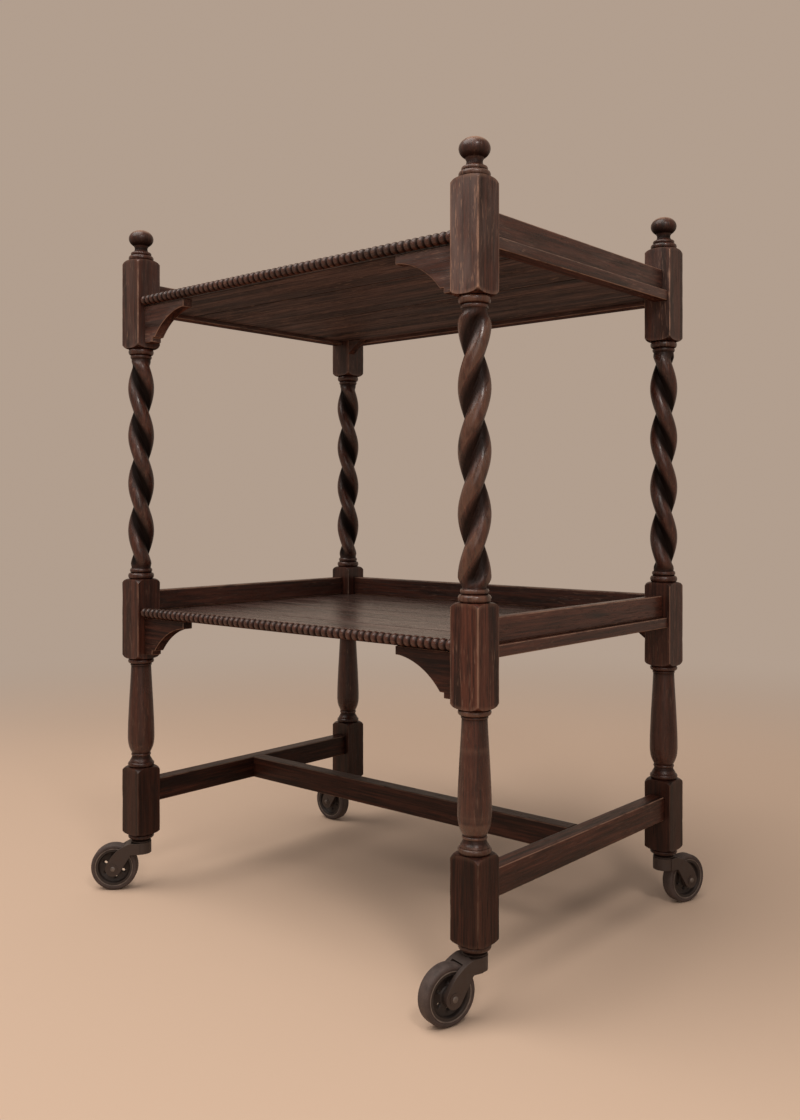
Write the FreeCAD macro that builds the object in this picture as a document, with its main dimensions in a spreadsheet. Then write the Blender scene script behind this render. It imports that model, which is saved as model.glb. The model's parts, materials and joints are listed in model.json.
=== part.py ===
# Two-tier oak serving trolley: barley-twist posts, rope-edged trays and swivel castors.
# Millimetres. The origin is on the floor under the middle of the four posts, +Z is up,
# +X runs along the long side, and the open rope-edged front faces -Y.
import FreeCAD, Part
import math
import os
import re
import Sketcher

# Driving dimensions. Each one becomes a cell of the sheet, under the same name.
SIZES = {
    # Plan of the frame, between post axes
    "post_spacing_x": 533.0,
    "post_spacing_y": 381.5,
    "post_size": 34.0,
    # Heights of the stretches of a post, from the castor up
    "foot_level": 62.0,
    "foot_ring_height": 8.0,
    "foot_block_height": 86.0,
    "leg_height": 138.0,
    "mid_block_height": 101.0,
    "twist_stretch_height": 293.0,
    "top_block_height": 112.0,
    # Turned details of a post
    "pommel_drop": 7.5,
    "foot_ring_radius": 16.3,
    "foot_end_radius": 12.4,
    "bead_radius": 16.4,
    "bead_root_radius": 14.0,
    "bead_height": 6.5,
    "bead_round": 2.0,
    "ring_radius": 14.0,
    "ring_height": 5.0,
    "leg_neck_radius": 11.2,
    "leg_neck_level": 17.0,
    "leg_belly_radius": 16.6,
    "leg_belly_level": 40.0,
    "leg_top_radius": 12.5,
    # Barley twist: two round strands wound about the post axis
    "strand_radius": 9.5,
    "strand_offset": 6.6,
    "twist_lead": 121.0,
    "twist_neck_radius": 11.6,
    "twist_run_in": 30.0,
    "twist_start_fr": -0.5,
    "twist_start_fl": 23.1,
    "twist_start_rr": 154.9,
    "twist_start_rl": 15.7,
    # Ball finial turned on the top of a post
    "finial_ring_radius": 15.6,
    "finial_ring_height": 6.0,
    "finial_collar_radius": 12.6,
    "finial_collar_height": 5.0,
    "finial_neck_radius": 8.0,
    "finial_neck_height": 6.0,
    "finial_ball_radius": 15.4,
    "finial_ball_height": 23.0,
    # Trays
    "upper_tray_drop": 53.5,
    "lower_tray_drop": 41.5,
    "plank_thickness": 7.0,
    "front_plank_seam": 111.0,
    "rear_plank_seam": 18.0,
    "strip_height": 12.0,
    "strip_outset": 14.0,
    "gallery_height": 26.0,
    "gallery_thickness": 11.0,
    "gallery_outset": 7.0,
    "rope_radius": 6.3,
    "rope_flat": 4.0,
    "rope_setback": 8.0,
    # Brackets under the front edges, and glue blocks behind
    "bracket_length": 78.0,
    "bracket_depth": 46.0,
    "bracket_thickness": 14.0,
    "bracket_nib": 9.0,
    "bracket_nib_ledge": 4.0,
    "bracket_foot": 15.5,
    "bracket_foot_step": 5.0,
    "bracket_foot_nib": 5.5,
    "bracket_curve_radius": 80.0,
    "glue_block_length": 26.0,
    "glue_block_depth": 20.0,
    "glue_block_thickness": 13.0,
    # Stretchers of the H frame
    "stretcher_level": 39.5,
    "stretcher_height": 28.0,
    "stretcher_thickness": 20.0,
    "tenon_length": 12.0,
    "tenon_height": 18.0,
    "tenon_thickness": 9.0,
    # Castors
    "tyre_radius": 29.0,
    "tyre_width": 15.5,
    "tyre_round": 2.6,
    "rim_radius": 22.4,
    "wheel_width": 14.0,
    "wheel_rim_thickness": 3.0,
    "wheel_web_thickness": 4.4,
    "wheel_hub_radius": 7.0,
    "castor_trail": 33.0,
    "barrel_radius": 12.8,
    "barrel_height": 14.2,
    "fork_arm_thickness": 5.0,
    "fork_boss_radius": 9.5,
    "fork_crown_reach": 11.0,
    "fork_top_curve_radius": 48.0,
    "axle_radius": 3.0,
    "axle_overhang": 2.0,
    "pin_radius": 4.0,
    "pin_head_radius": 6.0,
    "pin_head_height": 2.2,
    "peg_radius": 4.6,
    "peg_length": 40.0,
    "flange_radius": 12.4,
    "flange_height": 1.5,
    "castor_angle_fr": -106.0,
    "castor_angle_fl": -135.0,
    "castor_angle_rr": 72.5,
    "castor_angle_rl": 180.0,
    # Clearances
    "joint_clearance": 0.1,
    "running_clearance": 0.05,
    "swivel_clearance": 0.3,
    "wheel_side_clearance": 1.0,
    "wheel_well_clearance": 1.5,
}

# Levels and faces that follow from the driving dimensions
DERIVED = {
    "post_x": "post_spacing_x / 2",
    "post_y": "post_spacing_y / 2",
    "post_inner_x": "post_x - post_size / 2",
    "post_inner_y": "post_y - post_size / 2",
    "block_radius": "post_size * 0.75",
    "foot_block_base": "foot_level + foot_ring_height",
    "foot_block_top": "foot_block_base + foot_block_height",
    "mid_block_base": "foot_block_top + leg_height",
    "mid_block_top": "mid_block_base + mid_block_height",
    "top_block_base": "mid_block_top + twist_stretch_height",
    "post_top": "top_block_base + top_block_height",
    "collar_height": "bead_height + ring_height",
    "twist_base": "mid_block_top + collar_height",
    "twist_top": "top_block_base - collar_height",
    "upper_tray": "post_top - upper_tray_drop",
    "lower_tray": "mid_block_top - lower_tray_drop",
    "tray_end": "post_x + gallery_outset - gallery_thickness",
    "tray_back": "post_y + gallery_outset - gallery_thickness",
    "strip_width": "strip_outset - gallery_outset + gallery_thickness",
    "rope_axis_y": "rope_setback - post_y - post_size / 2",
    "tray_front": "rope_axis_y + rope_flat",
    "stretcher_mid": "foot_block_base + stretcher_level + stretcher_height / 2",
    "long_stretcher_end": "post_x - stretcher_thickness / 2",
    "mortise_depth": "tenon_length + joint_clearance",
    "barrel_top": "foot_level - flange_height - swivel_clearance",
    "barrel_base": "barrel_top - barrel_height",
    "fork_gap": "tyre_width + 2 * wheel_side_clearance",
    "fork_width": "fork_gap + 2 * fork_arm_thickness",
    "leg_neck": "foot_block_top + leg_neck_level",
    "leg_belly": "foot_block_top + leg_belly_level",
    "leg_top_bead": "mid_block_base - bead_height",
    "finial_collar_base": "post_top + finial_ring_height",
    "finial_neck_base": "finial_collar_base + finial_collar_height",
    "finial_ball_base": "finial_neck_base + finial_neck_height",
}

# Sides of the plan on which each post stands, and the hand of its twist
POSTS = {
    "fr": {"x": 1, "y": -1, "hand": 1},
    "fl": {"x": -1, "y": -1, "hand": -1},
    "rr": {"x": 1, "y": 1, "hand": -1},
    "rl": {"x": -1, "y": 1, "hand": -1},
}
TRAYS = ("upper", "lower")
# Sides of a post's rings, few because the four posts have many, and degrees of winding from ring to ring
RING_SIDES = 16
TWIST_STEP = 30.0
# Angles, from its widest line, at which the ball's profile has a corner
BALL_ANGLES = (-28, 0, 28, 55, 78)

doc = FreeCAD.newDocument("ServingTrolley")
sheet = doc.addObject("Spreadsheet::Sheet", "Sizes")
for row, (alias, size) in enumerate(SIZES.items(), start=1):
    sheet.set(f"A{row}", alias)
    sheet.set(f"B{row}", str(size))
    sheet.setAlias(f"B{row}", alias)
doc.recompute()

sub_parts = []


# Helpers

def expand(text):
    """Spell out derived values, and point every name at its cell on the sheet."""

    def spell(match):
        word = match.group()
        if word in DERIVED:
            return "(" + expand(DERIVED[word]) + ")"
        if word in SIZES:
            return "Sizes." + word
        return word

    return re.sub(r"[A-Za-z_]\w*", spell, text)


def value(text):
    """The present value of an expression on the sheet."""
    return float(sheet.evalExpression(expand(text)))


def bind(thing, name, text):
    """Tie one property of a feature to an expression on the sheet."""
    thing.setExpression(name, expand(text))


def place(thing, x, y, z, turn="0"):
    """Put a sub-part at a point, turned about the vertical, all as expressions."""
    bind(thing, "Placement.Base.x", x)
    bind(thing, "Placement.Base.y", y)
    bind(thing, "Placement.Base.z", z)
    thing.Placement.Rotation = FreeCAD.Rotation(FreeCAD.Vector(0, 0, 1), 1)
    bind(thing, "Placement.Rotation.Angle", turn)


def sub_part(thing, label):
    """Name a finished sub-part and keep it for export."""
    thing.Label = label
    sub_parts.append(thing)
    return thing


def box(name, length, width, height, x, y, z):
    """A plain board with its lowest corner at x, y, z."""
    made = doc.addObject("Part::Box", name)
    bind(made, "Length", length)
    bind(made, "Width", width)
    bind(made, "Height", height)
    place(made, x, y, z)
    return made


def cylinder(name, radius, height, x, y, z):
    """An upright cylinder standing on x, y, z."""
    made = doc.addObject("Part::Cylinder", name)
    bind(made, "Radius", radius)
    bind(made, "Height", height)
    place(made, x, y, z)
    return made


def arc_centre(start, end, radius, side):
    """Centre of the short arc between two points; side 1 turns left from start to end, -1 right."""
    mid = (start + end) * 0.5
    chord = end - start
    rise = math.sqrt(max(radius**2 - chord.Length**2 / 4, 0.0))
    normal = FreeCAD.Vector(-chord.y, chord.x, 0)
    normal.normalize()
    return mid + normal * (rise * side)


def draw(sketch, corners):
    """Draw a closed outline in a sketch and tie every corner to the sheet.

    A corner is (across, up), as expressions. With a third and a fourth item, a radius and
    a side, the stretch that ends at the corner is an arc that turns to that side.
    """
    points = [FreeCAD.Vector(value(c[0]), value(c[1]), 0) for c in corners]
    for i, corner in enumerate(corners):
        start, end = points[i - 1], points[i]
        if len(corner) == 2:
            index = sketch.addGeometry(Part.LineSegment(start, end))
            first, last = 1, 2
        else:
            radius, side = value(corner[2]), corner[3]
            centre = arc_centre(start, end, radius, side)
            circle = Part.Circle(centre, FreeCAD.Vector(0, 0, 1), radius)
            begin = math.atan2(start.y - centre.y, start.x - centre.x)
            finish = math.atan2(end.y - centre.y, end.x - centre.x)
            if side > 0:
                arc = Part.ArcOfCircle(circle, begin, finish)
                first, last = 1, 2
            else:
                arc = Part.ArcOfCircle(circle, finish, begin)
                first, last = 2, 1
            index = sketch.addGeometry(arc)
            tie = sketch.addConstraint(Sketcher.Constraint("Radius", index, radius))
            sketch.setExpression(f"Constraints[{tie}]", expand(corner[2]))
        if i == 0:
            opening = (index, first)
        else:
            sketch.addConstraint(Sketcher.Constraint("Coincident", *previous, index, first))
        previous = (index, last)
        for kind, text, now in (("DistanceX", corner[0], end.x), ("DistanceY", corner[1], end.y)):
            tie = sketch.addConstraint(Sketcher.Constraint(kind, -1, 1, index, last, now))
            sketch.setExpression(f"Constraints[{tie}]", expand(text))
    sketch.addConstraint(Sketcher.Constraint("Coincident", *previous, *opening))


def draw_circle(sketch, across, up, radius):
    """Draw a circle in a sketch, tied to the sheet."""
    centre = FreeCAD.Vector(value(across), value(up), 0)
    index = sketch.addGeometry(Part.Circle(centre, FreeCAD.Vector(0, 0, 1), value(radius)))
    for kind, text, now in (("DistanceX", across, centre.x), ("DistanceY", up, centre.y)):
        tie = sketch.addConstraint(Sketcher.Constraint(kind, -1, 1, index, 3, now))
        sketch.setExpression(f"Constraints[{tie}]", expand(text))
    tie = sketch.addConstraint(Sketcher.Constraint("Radius", index, value(radius)))
    sketch.setExpression(f"Constraints[{tie}]", expand(radius))


def origin_feature(body, role):
    """One of a body's own origin planes or axes."""
    return next(f for f in body.Origin.OriginFeatures if f.Role == role)


def new_sketch(body, name, plane, offset="0"):
    """An empty sketch on one of the body's own planes, moved along that plane's normal."""
    sketch = body.newObject("Sketcher::SketchObject", name)
    sketch.AttachmentSupport = [(origin_feature(body, plane), "")]
    sketch.MapMode = "FlatFace"
    bind(sketch, "AttachmentOffset.Base.z", offset)
    return sketch


def pad(body, name, sketch, length, both_ways=False):
    """Thicken a sketch, to one side or evenly to both."""
    made = body.newObject("PartDesign::Pad", name)
    made.Profile = sketch
    made.SideType = "Symmetric" if both_ways else "One side"
    bind(made, "Length", length)
    return made


def pocket(body, name, sketch, length):
    """Cut a sketch evenly to both sides of its plane."""
    made = body.newObject("PartDesign::Pocket", name)
    made.Profile = sketch
    made.SideType = "Symmetric"
    bind(made, "Length", length)
    return made


def revolve(body, name, sketch):
    """Turn a sketch about its own upright axis."""
    made = body.newObject("PartDesign::Revolution", name)
    made.Profile = sketch
    made.ReferenceAxis = (sketch, ["V_Axis"])
    made.Angle = 360
    return made


# Posts

def bead(radius, low, high):
    """Profile of a rounded turned bead between two levels."""
    return [
        ("bead_root_radius", low),
        (radius, f"{low} + bead_round"),
        (radius, f"{high} - bead_round"),
        ("bead_root_radius", high),
    ]


def pommelled_block(low, high):
    """Profile of a block's two rounded lathe shoulders, before its square is cut."""
    half_way = "(bead_root_radius + block_radius) / 2"
    return [
        (half_way, f"{low} + pommel_drop * 0.3"),
        ("block_radius", f"{low} + pommel_drop"),
        ("block_radius", f"{high} - pommel_drop"),
        (half_way, f"{high} - pommel_drop * 0.3"),
    ]


def leg_profile():
    """Profile of the baluster leg between the foot block and the middle block."""
    return [
        *bead("bead_radius", "foot_block_top", "foot_block_top + bead_height"),
        ("leg_neck_radius", "leg_neck - ring_height"),
        ("leg_neck_radius + bead_round", "leg_neck - ring_height / 2"),
        ("leg_neck_radius", "leg_neck"),
        ("(leg_neck_radius + 2 * leg_belly_radius) / 3", "leg_neck * 0.6 + leg_belly * 0.4"),
        ("leg_belly_radius", "leg_belly"),
        ("leg_belly_radius * 0.75 + leg_top_radius * 0.25", "leg_belly * 0.6 + leg_top_bead * 0.4"),
        ("leg_top_radius", "leg_top_bead - ring_height"),
        ("ring_radius", "leg_top_bead - ring_height / 2"),
        ("leg_top_radius", "leg_top_bead - bead_round / 4"),
        *bead("bead_radius", "leg_top_bead", "mid_block_base"),
    ]


def finial_profile():
    """Profile of the ball finial, with its ring, collar and neck."""
    ball_middle = "finial_ball_base + finial_ball_height / 2"
    ball = [
        (f"finial_ball_radius * cos({angle})", f"{ball_middle} + finial_ball_height / 2 * sin({angle})")
        for angle in BALL_ANGLES
    ]
    return [
        *bead("finial_ring_radius", "post_top", "finial_collar_base"),
        ("finial_collar_radius", "finial_collar_base + finial_collar_height / 2"),
        ("finial_neck_radius", "finial_neck_base"),
        ("finial_neck_radius", "finial_ball_base"),
        *ball,
    ]


def lower_profile():
    """Lathe profile of a post from its foot to the lower end of its twist."""
    return [
        ("foot_end_radius", "foot_level"),
        ("foot_ring_radius", "foot_level + foot_ring_height * 0.5"),
        ("foot_ring_radius", "foot_level + foot_ring_height * 0.8"),
        ("bead_root_radius", "foot_block_base"),
        *pommelled_block("foot_block_base", "foot_block_top"),
        *leg_profile(),
        *pommelled_block("mid_block_base", "mid_block_top"),
        *bead("bead_radius", "mid_block_top", "mid_block_top + bead_height"),
        ("ring_radius", "twist_base - ring_height / 2"),
        ("twist_neck_radius", "twist_base"),
    ]


def upper_profile():
    """Lathe profile of a post from the upper end of its twist to the tip of its finial."""
    return [
        ("twist_neck_radius", "twist_top"),
        ("ring_radius", "twist_top + ring_height / 2"),
        *bead("bead_radius", "twist_top + ring_height", "top_block_base"),
        *pommelled_block("top_block_base", "post_top"),
        *finial_profile(),
    ]


def round_rings(profile, start):
    """Rings of a turned length, one at each corner of its lathe profile, as (level, points)."""
    step = 2 * math.pi / RING_SIDES
    turn = round(math.radians(start) / step) * step
    rings = []
    for radius_text, level_text in profile:
        radius, level = value(radius_text), value(level_text)
        rings.append([
            FreeCAD.Vector(radius * math.cos(turn + i * step), radius * math.sin(turn + i * step), level)
            for i in range(RING_SIDES)
        ])
    return rings


def strand_outline():
    """Section of the twist as (radius, angle): two round strands side by side, from the first one's crest."""
    radius = value("strand_radius")
    offset = value("strand_offset")
    sides = RING_SIDES // 2
    to_groove = math.pi - math.acos(offset / radius)
    outline = []
    for strand in (0.0, math.pi):
        for i in range(-sides // 2, sides // 2):
            angle = 2 * to_groove * i / sides
            x = offset + radius * math.cos(angle)
            y = radius * math.sin(angle)
            outline.append((math.hypot(x, y), math.atan2(y, x) + strand))
    crest = sides // 2
    return outline[crest:] + [(reach, angle + 2 * math.pi) for reach, angle in outline[:crest]]


def twist_rings(start, hand):
    """Rings of the barley twist, which dies into a round neck at either end."""
    low, high = value("twist_base"), value("twist_top")
    lead = value("twist_lead")
    neck = value("twist_neck_radius")
    run_in = value("twist_run_in")
    outline = strand_outline()
    steps = math.ceil(360 * (high - low) / lead / TWIST_STEP)
    rings = []
    for i in range(1, steps):
        level = low + (high - low) * i / steps
        fullness = math.sin(min(level - low, high - level, run_in) / run_in * math.pi / 2)
        turn = math.radians(start + hand * 360 * (level - low) / lead)
        ring = []
        for reach, angle in outline:
            radius = neck + (reach - neck) * fullness
            x = radius * math.cos(angle + turn)
            y = radius * math.sin(angle + turn)
            ring.append(FreeCAD.Vector(x, y, level))
        rings.append(ring)
    return rings


def band(lower, upper, hand):
    """Flat faces between two rings: whole four-sided ones, or halves that lean with the winding."""
    faces = []
    for i in range(RING_SIDES):
        a, b = lower[i - 1], lower[i]
        c, d = upper[i], upper[i - 1]
        if hand == 0:
            faces.append((a, b, c, d))
        elif hand > 0:
            faces += [(a, b, d), (b, c, d)]
        else:
            faces += [(a, b, c), (a, c, d)]
    return [Part.Face(Part.makePolygon([*corners, corners[0]])) for corners in faces]


def stacked_post(start, hand):
    """A post before it is squared: a closed stack of rings from its foot to the tip of its finial."""
    finish = start + hand * 360 * value("twist_top - twist_base") / value("twist_lead")
    lower = round_rings(lower_profile(), start)
    twist = twist_rings(start, hand)
    upper = round_rings(upper_profile(), finish)
    faces = [Part.Face(Part.makePolygon([*ring, ring[0]])) for ring in (lower[0], upper[-1])]
    for turned in (lower, upper):
        for below, above in zip(turned, turned[1:]):
            faces += band(below, above, 0)
    wound = [lower[-1], *twist, upper[0]]
    for below, above in zip(wound, wound[1:]):
        faces += band(below, above, hand)
    return Part.makeSolid(Part.makeShell(faces))


def make_post(corner):
    """A post: turned and wound, squared at its blocks, and bored for castor peg and stretcher tenon."""
    sides = POSTS[corner]
    turning = doc.addObject("Part::Feature", f"Turning_{corner}")
    turning.Shape = stacked_post(value(f"twist_start_{corner}"), sides["hand"])
    square = box(
        f"PostSquare_{corner}",
        "post_size", "post_size", "finial_ball_base + finial_ball_height",
        "-post_size / 2", "-post_size / 2", "0",
    )
    squared = doc.addObject("Part::Common", f"SquaredPost_{corner}")
    squared.Base = turning
    squared.Tool = square
    peg_hole = cylinder(
        f"PegHole_{corner}",
        "peg_radius + joint_clearance", "peg_length + joint_clearance",
        "0", "0", "foot_level",
    )
    inner_face = "post_size / 2 - mortise_depth" if sides["y"] < 0 else "-post_size / 2"
    mortise = box(
        f"Mortise_{corner}",
        "tenon_thickness + 2 * joint_clearance",
        "mortise_depth",
        "tenon_height + 2 * joint_clearance",
        "-tenon_thickness / 2 - joint_clearance",
        inner_face,
        "stretcher_mid - tenon_height / 2 - joint_clearance",
    )
    holes = doc.addObject("Part::MultiFuse", f"PostHoles_{corner}")
    holes.Shapes = [peg_hole, mortise]
    post = doc.addObject("Part::Cut", f"post_{corner}")
    post.Base = squared
    post.Tool = holes
    place(post, f"{sides['x']} * post_x", f"{sides['y']} * post_y", "0")
    return sub_part(post, f"post_{corner}")


# Trays

def make_notched_plank(tray, end, corners):
    """An outer plank of a tray, cut round the two posts beside it."""
    label = f"{tray}_tray_plank_{end}"
    body = doc.addObject("PartDesign::Body", label)
    sketch = new_sketch(body, f"PlankOutline_{tray}_{end}", "XY_Plane")
    draw(sketch, corners)
    pad(body, f"PlankBoard_{tray}_{end}", sketch, "plank_thickness")
    place(body, "0", "0", f"{tray}_tray - plank_thickness")
    return sub_part(body, label)


def make_planks(tray):
    """The three planks of a tray, which run along its length."""
    make_notched_plank(tray, "front", [
        ("-post_inner_x", "tray_front"),
        ("post_inner_x", "tray_front"),
        ("post_inner_x", "-post_inner_y"),
        ("tray_end", "-post_inner_y"),
        ("tray_end", "-front_plank_seam"),
        ("-tray_end", "-front_plank_seam"),
        ("-tray_end", "-post_inner_y"),
        ("-post_inner_x", "-post_inner_y"),
    ])
    middle = box(
        f"{tray}_tray_plank_middle",
        "2 * tray_end", "front_plank_seam + rear_plank_seam", "plank_thickness",
        "-tray_end", "-front_plank_seam", f"{tray}_tray - plank_thickness",
    )
    sub_part(middle, f"{tray}_tray_plank_middle")
    make_notched_plank(tray, "rear", [
        ("-tray_end", "rear_plank_seam"),
        ("tray_end", "rear_plank_seam"),
        ("tray_end", "post_inner_y"),
        ("post_inner_x", "post_inner_y"),
        ("post_inner_x", "tray_back"),
        ("-post_inner_x", "tray_back"),
        ("-post_inner_x", "post_inner_y"),
        ("-tray_end", "post_inner_y"),
    ])


def make_edges(tray):
    """Edge strips and gallery boards on the two ends and the back of a tray."""
    strip_base = f"{tray}_tray - strip_height"
    for end, strip_x, gallery_x in (
        ("left", "-tray_end - strip_width", "-tray_end - gallery_thickness"),
        ("right", "tray_end", "tray_end"),
    ):
        sub_part(
            box(
                f"{tray}_strip_{end}", "strip_width", "2 * post_inner_y", "strip_height",
                strip_x, "-post_inner_y", strip_base,
            ),
            f"{tray}_strip_{end}",
        )
        sub_part(
            box(
                f"{tray}_gallery_{end}", "gallery_thickness", "2 * post_inner_y", "gallery_height",
                gallery_x, "-post_inner_y", f"{tray}_tray",
            ),
            f"{tray}_gallery_{end}",
        )
    sub_part(
        box(
            f"{tray}_strip_back", "2 * post_inner_x", "strip_width", "strip_height",
            "-post_inner_x", "tray_back", strip_base,
        ),
        f"{tray}_strip_back",
    )
    sub_part(
        box(
            f"{tray}_gallery_back", "2 * post_inner_x", "gallery_thickness", "gallery_height",
            "-post_inner_x", "tray_back", f"{tray}_tray",
        ),
        f"{tray}_gallery_back",
    )


def make_rope(tray):
    """Round moulding along the front edge of a tray, flat where it is glued on."""
    label = f"{tray}_rope_moulding"
    body = doc.addObject("PartDesign::Body", label)
    sketch = new_sketch(body, f"RopeSection_{tray}", "YZ_Plane")
    half_flat = "sqrt(rope_radius * rope_radius - rope_flat * rope_flat)"
    draw(sketch, [
        ("rope_flat", f"-{half_flat}"),
        ("rope_flat", half_flat),
        ("0", "rope_radius", "rope_radius", 1),
        ("-rope_radius", "0", "rope_radius", 1),
        ("0", "-rope_radius", "rope_radius", 1),
        ("rope_flat", f"-{half_flat}", "rope_radius", 1),
    ][1:])
    pad(body, f"RopeLength_{tray}", sketch, "2 * post_inner_x", both_ways=True)
    place(body, "0", "rope_axis_y", f"{tray}_tray")
    return sub_part(body, label)


def make_bracket(tray, corner):
    """A shaped bracket between the front edge of a tray and a post."""
    label = f"{tray}_bracket_{corner}"
    body = doc.addObject("PartDesign::Body", label)
    sketch = new_sketch(body, f"BracketOutline_{tray}_{corner}", "XZ_Plane")
    foot_step = "bracket_foot + bracket_foot_step"
    foot_level = "-bracket_depth + bracket_foot_nib"
    draw(sketch, [
        ("0", "0"),
        ("0", "-bracket_depth"),
        ("bracket_foot", "-bracket_depth"),
        ("bracket_foot", foot_level),
        (foot_step, foot_level),
        ("bracket_length - bracket_nib_ledge", "-bracket_nib", "bracket_curve_radius", -1),
        ("bracket_length", "-bracket_nib"),
        ("bracket_length", "0"),
    ])
    pad(body, f"BracketBoard_{tray}_{corner}", sketch, "bracket_thickness", both_ways=True)
    side = POSTS[corner]["x"]
    place(
        body, f"{side} * post_inner_x", "-post_y", f"{tray}_tray - plank_thickness",
        "180" if side > 0 else "0",
    )
    return sub_part(body, label)


def make_glue_block(tray, corner):
    """A small triangular block glued in under a back corner of a tray."""
    label = f"{tray}_glue_block_{corner}"
    body = doc.addObject("PartDesign::Body", label)
    sketch = new_sketch(body, f"GlueBlockOutline_{tray}", "XZ_Plane")
    draw(sketch, [
        ("0", "0"),
        ("0", "-glue_block_depth"),
        ("glue_block_length", "0"),
    ])
    pad(body, f"GlueBlockBoard_{tray}", sketch, "glue_block_thickness", both_ways=True)
    side = POSTS[corner]["x"]
    place(
        body, f"{side} * post_inner_x", "tray_back - glue_block_thickness / 2",
        f"{tray}_tray - plank_thickness", "180" if side > 0 else "0",
    )
    return sub_part(body, label)


# Stretchers

def bar_section(body, name, plane, thickness, height):
    """Rectangle about the middle of a bar, as a sketch."""
    sketch = new_sketch(body, name, plane)
    draw(sketch, [
        (f"-({thickness}) / 2", f"-({height}) / 2"),
        (f"({thickness}) / 2", f"-({height}) / 2"),
        (f"({thickness}) / 2", f"({height}) / 2"),
        (f"-({thickness}) / 2", f"({height}) / 2"),
    ])
    return sketch


def make_stretcher(label, plane, half_length, x):
    """A square-edged stretcher with a stub tenon at each end."""
    body = doc.addObject("PartDesign::Body", label)
    bar = bar_section(body, f"BarSection_{label}", plane, "stretcher_thickness", "stretcher_height")
    pad(body, f"Bar_{label}", bar, f"2 * {half_length}", both_ways=True)
    tenon = bar_section(body, f"TenonSection_{label}", plane, "tenon_thickness", "tenon_height")
    pad(body, f"Tenons_{label}", tenon, f"2 * ({half_length} + tenon_length)", both_ways=True)
    place(body, x, "0", "stretcher_mid")
    return body


def make_end_stretcher(end, side):
    """An end stretcher, with the mortise for the long one in its inner face."""
    label = f"end_stretcher_{end}"
    body = make_stretcher(label, "XZ_Plane", "post_inner_y", f"{side} * post_x")
    middle = f"{-side} * (stretcher_thickness / 2 - tenon_length * 0.5)"
    sketch = new_sketch(body, f"MortiseOutline_{end}", "YZ_Plane", middle)
    half_width = "tenon_thickness / 2 + joint_clearance"
    half_height = "tenon_height / 2 + joint_clearance"
    draw(sketch, [
        (f"-({half_width})", f"-({half_height})"),
        (half_width, f"-({half_height})"),
        (half_width, half_height),
        (f"-({half_width})", half_height),
    ])
    pocket(body, f"Mortise_{end}", sketch, "tenon_length + 2 * joint_clearance")
    return sub_part(body, label)


# Castors

def place_castor_piece(body, corner, reach, height):
    """Put a castor piece at its post, turned the way the castor trails."""
    sides = POSTS[corner]
    angle = f"castor_angle_{corner}"
    place(
        body,
        f"{sides['x']} * post_x + {reach} * cos({angle})",
        f"{sides['y']} * post_y + {reach} * sin({angle})",
        height,
        angle,
    )


def make_stem(corner):
    """Castor stem: a peg up the post, a flange under its foot and the riveted swivel pin."""
    label = f"castor_stem_{corner}"
    body = doc.addObject("PartDesign::Body", label)
    sketch = new_sketch(body, f"StemProfile_{corner}", "XZ_Plane")
    flange_base = "barrel_top + swivel_clearance"
    head_top = "barrel_base - swivel_clearance"
    draw(sketch, [
        ("0", f"{head_top} - pin_head_height"),
        ("pin_head_radius", f"{head_top} - pin_head_height"),
        ("pin_head_radius", head_top),
        ("pin_radius", head_top),
        ("pin_radius", flange_base),
        ("flange_radius", flange_base),
        ("flange_radius", "foot_level"),
        ("peg_radius", "foot_level"),
        ("peg_radius", "foot_level + peg_length"),
        ("0", "foot_level + peg_length"),
    ])
    revolve(body, f"StemTurning_{corner}", sketch)
    place_castor_piece(body, corner, "0", "0")
    return sub_part(body, label)


def make_fork(corner):
    """Castor horn: a barrel round the swivel pin, with two arms swept down to the axle."""
    label = f"castor_fork_{corner}"
    body = doc.addObject("PartDesign::Body", label)
    barrel = new_sketch(body, f"BarrelSection_{corner}", "XY_Plane", "barrel_base")
    draw_circle(barrel, "0", "0", "barrel_radius")
    pad(body, f"Barrel_{corner}", barrel, "barrel_height")
    arms = new_sketch(body, f"ArmOutline_{corner}", "XZ_Plane")
    outer_x, outer_z = "castor_trail + fork_boss_radius * cos(20)", "tyre_radius + fork_boss_radius * sin(20)"
    inner_x, inner_z = "castor_trail - fork_boss_radius * cos(35)", "tyre_radius - fork_boss_radius * sin(35)"
    draw(arms, [
        ("0", "barrel_base"),
        ("fork_crown_reach", "barrel_base"),
        (inner_x, inner_z),
        ("castor_trail", "tyre_radius - fork_boss_radius", "fork_boss_radius", 1),
        (outer_x, outer_z, "fork_boss_radius", 1),
        ("fork_crown_reach", "barrel_top", "fork_top_curve_radius", 1),
        ("0", "barrel_top"),
    ])
    pad(body, f"Arms_{corner}", arms, "fork_width", both_ways=True)
    well = new_sketch(body, f"WheelWell_{corner}", "XZ_Plane")
    draw_circle(well, "castor_trail", "tyre_radius", "tyre_radius + wheel_well_clearance")
    pocket(body, f"Well_{corner}", well, "fork_gap")
    axle_hole = new_sketch(body, f"AxleHole_{corner}", "XZ_Plane")
    draw_circle(axle_hole, "castor_trail", "tyre_radius", "axle_radius + running_clearance")
    pocket(body, f"AxleBore_{corner}", axle_hole, "2 * fork_width")
    pin_hole = new_sketch(body, f"PinHole_{corner}", "XY_Plane", "barrel_base + barrel_height / 2")
    draw_circle(pin_hole, "0", "0", "pin_radius + running_clearance")
    pocket(body, f"PinBore_{corner}", pin_hole, "2 * barrel_height")
    place_castor_piece(body, corner, "0", "0")
    return sub_part(body, label)


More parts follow.
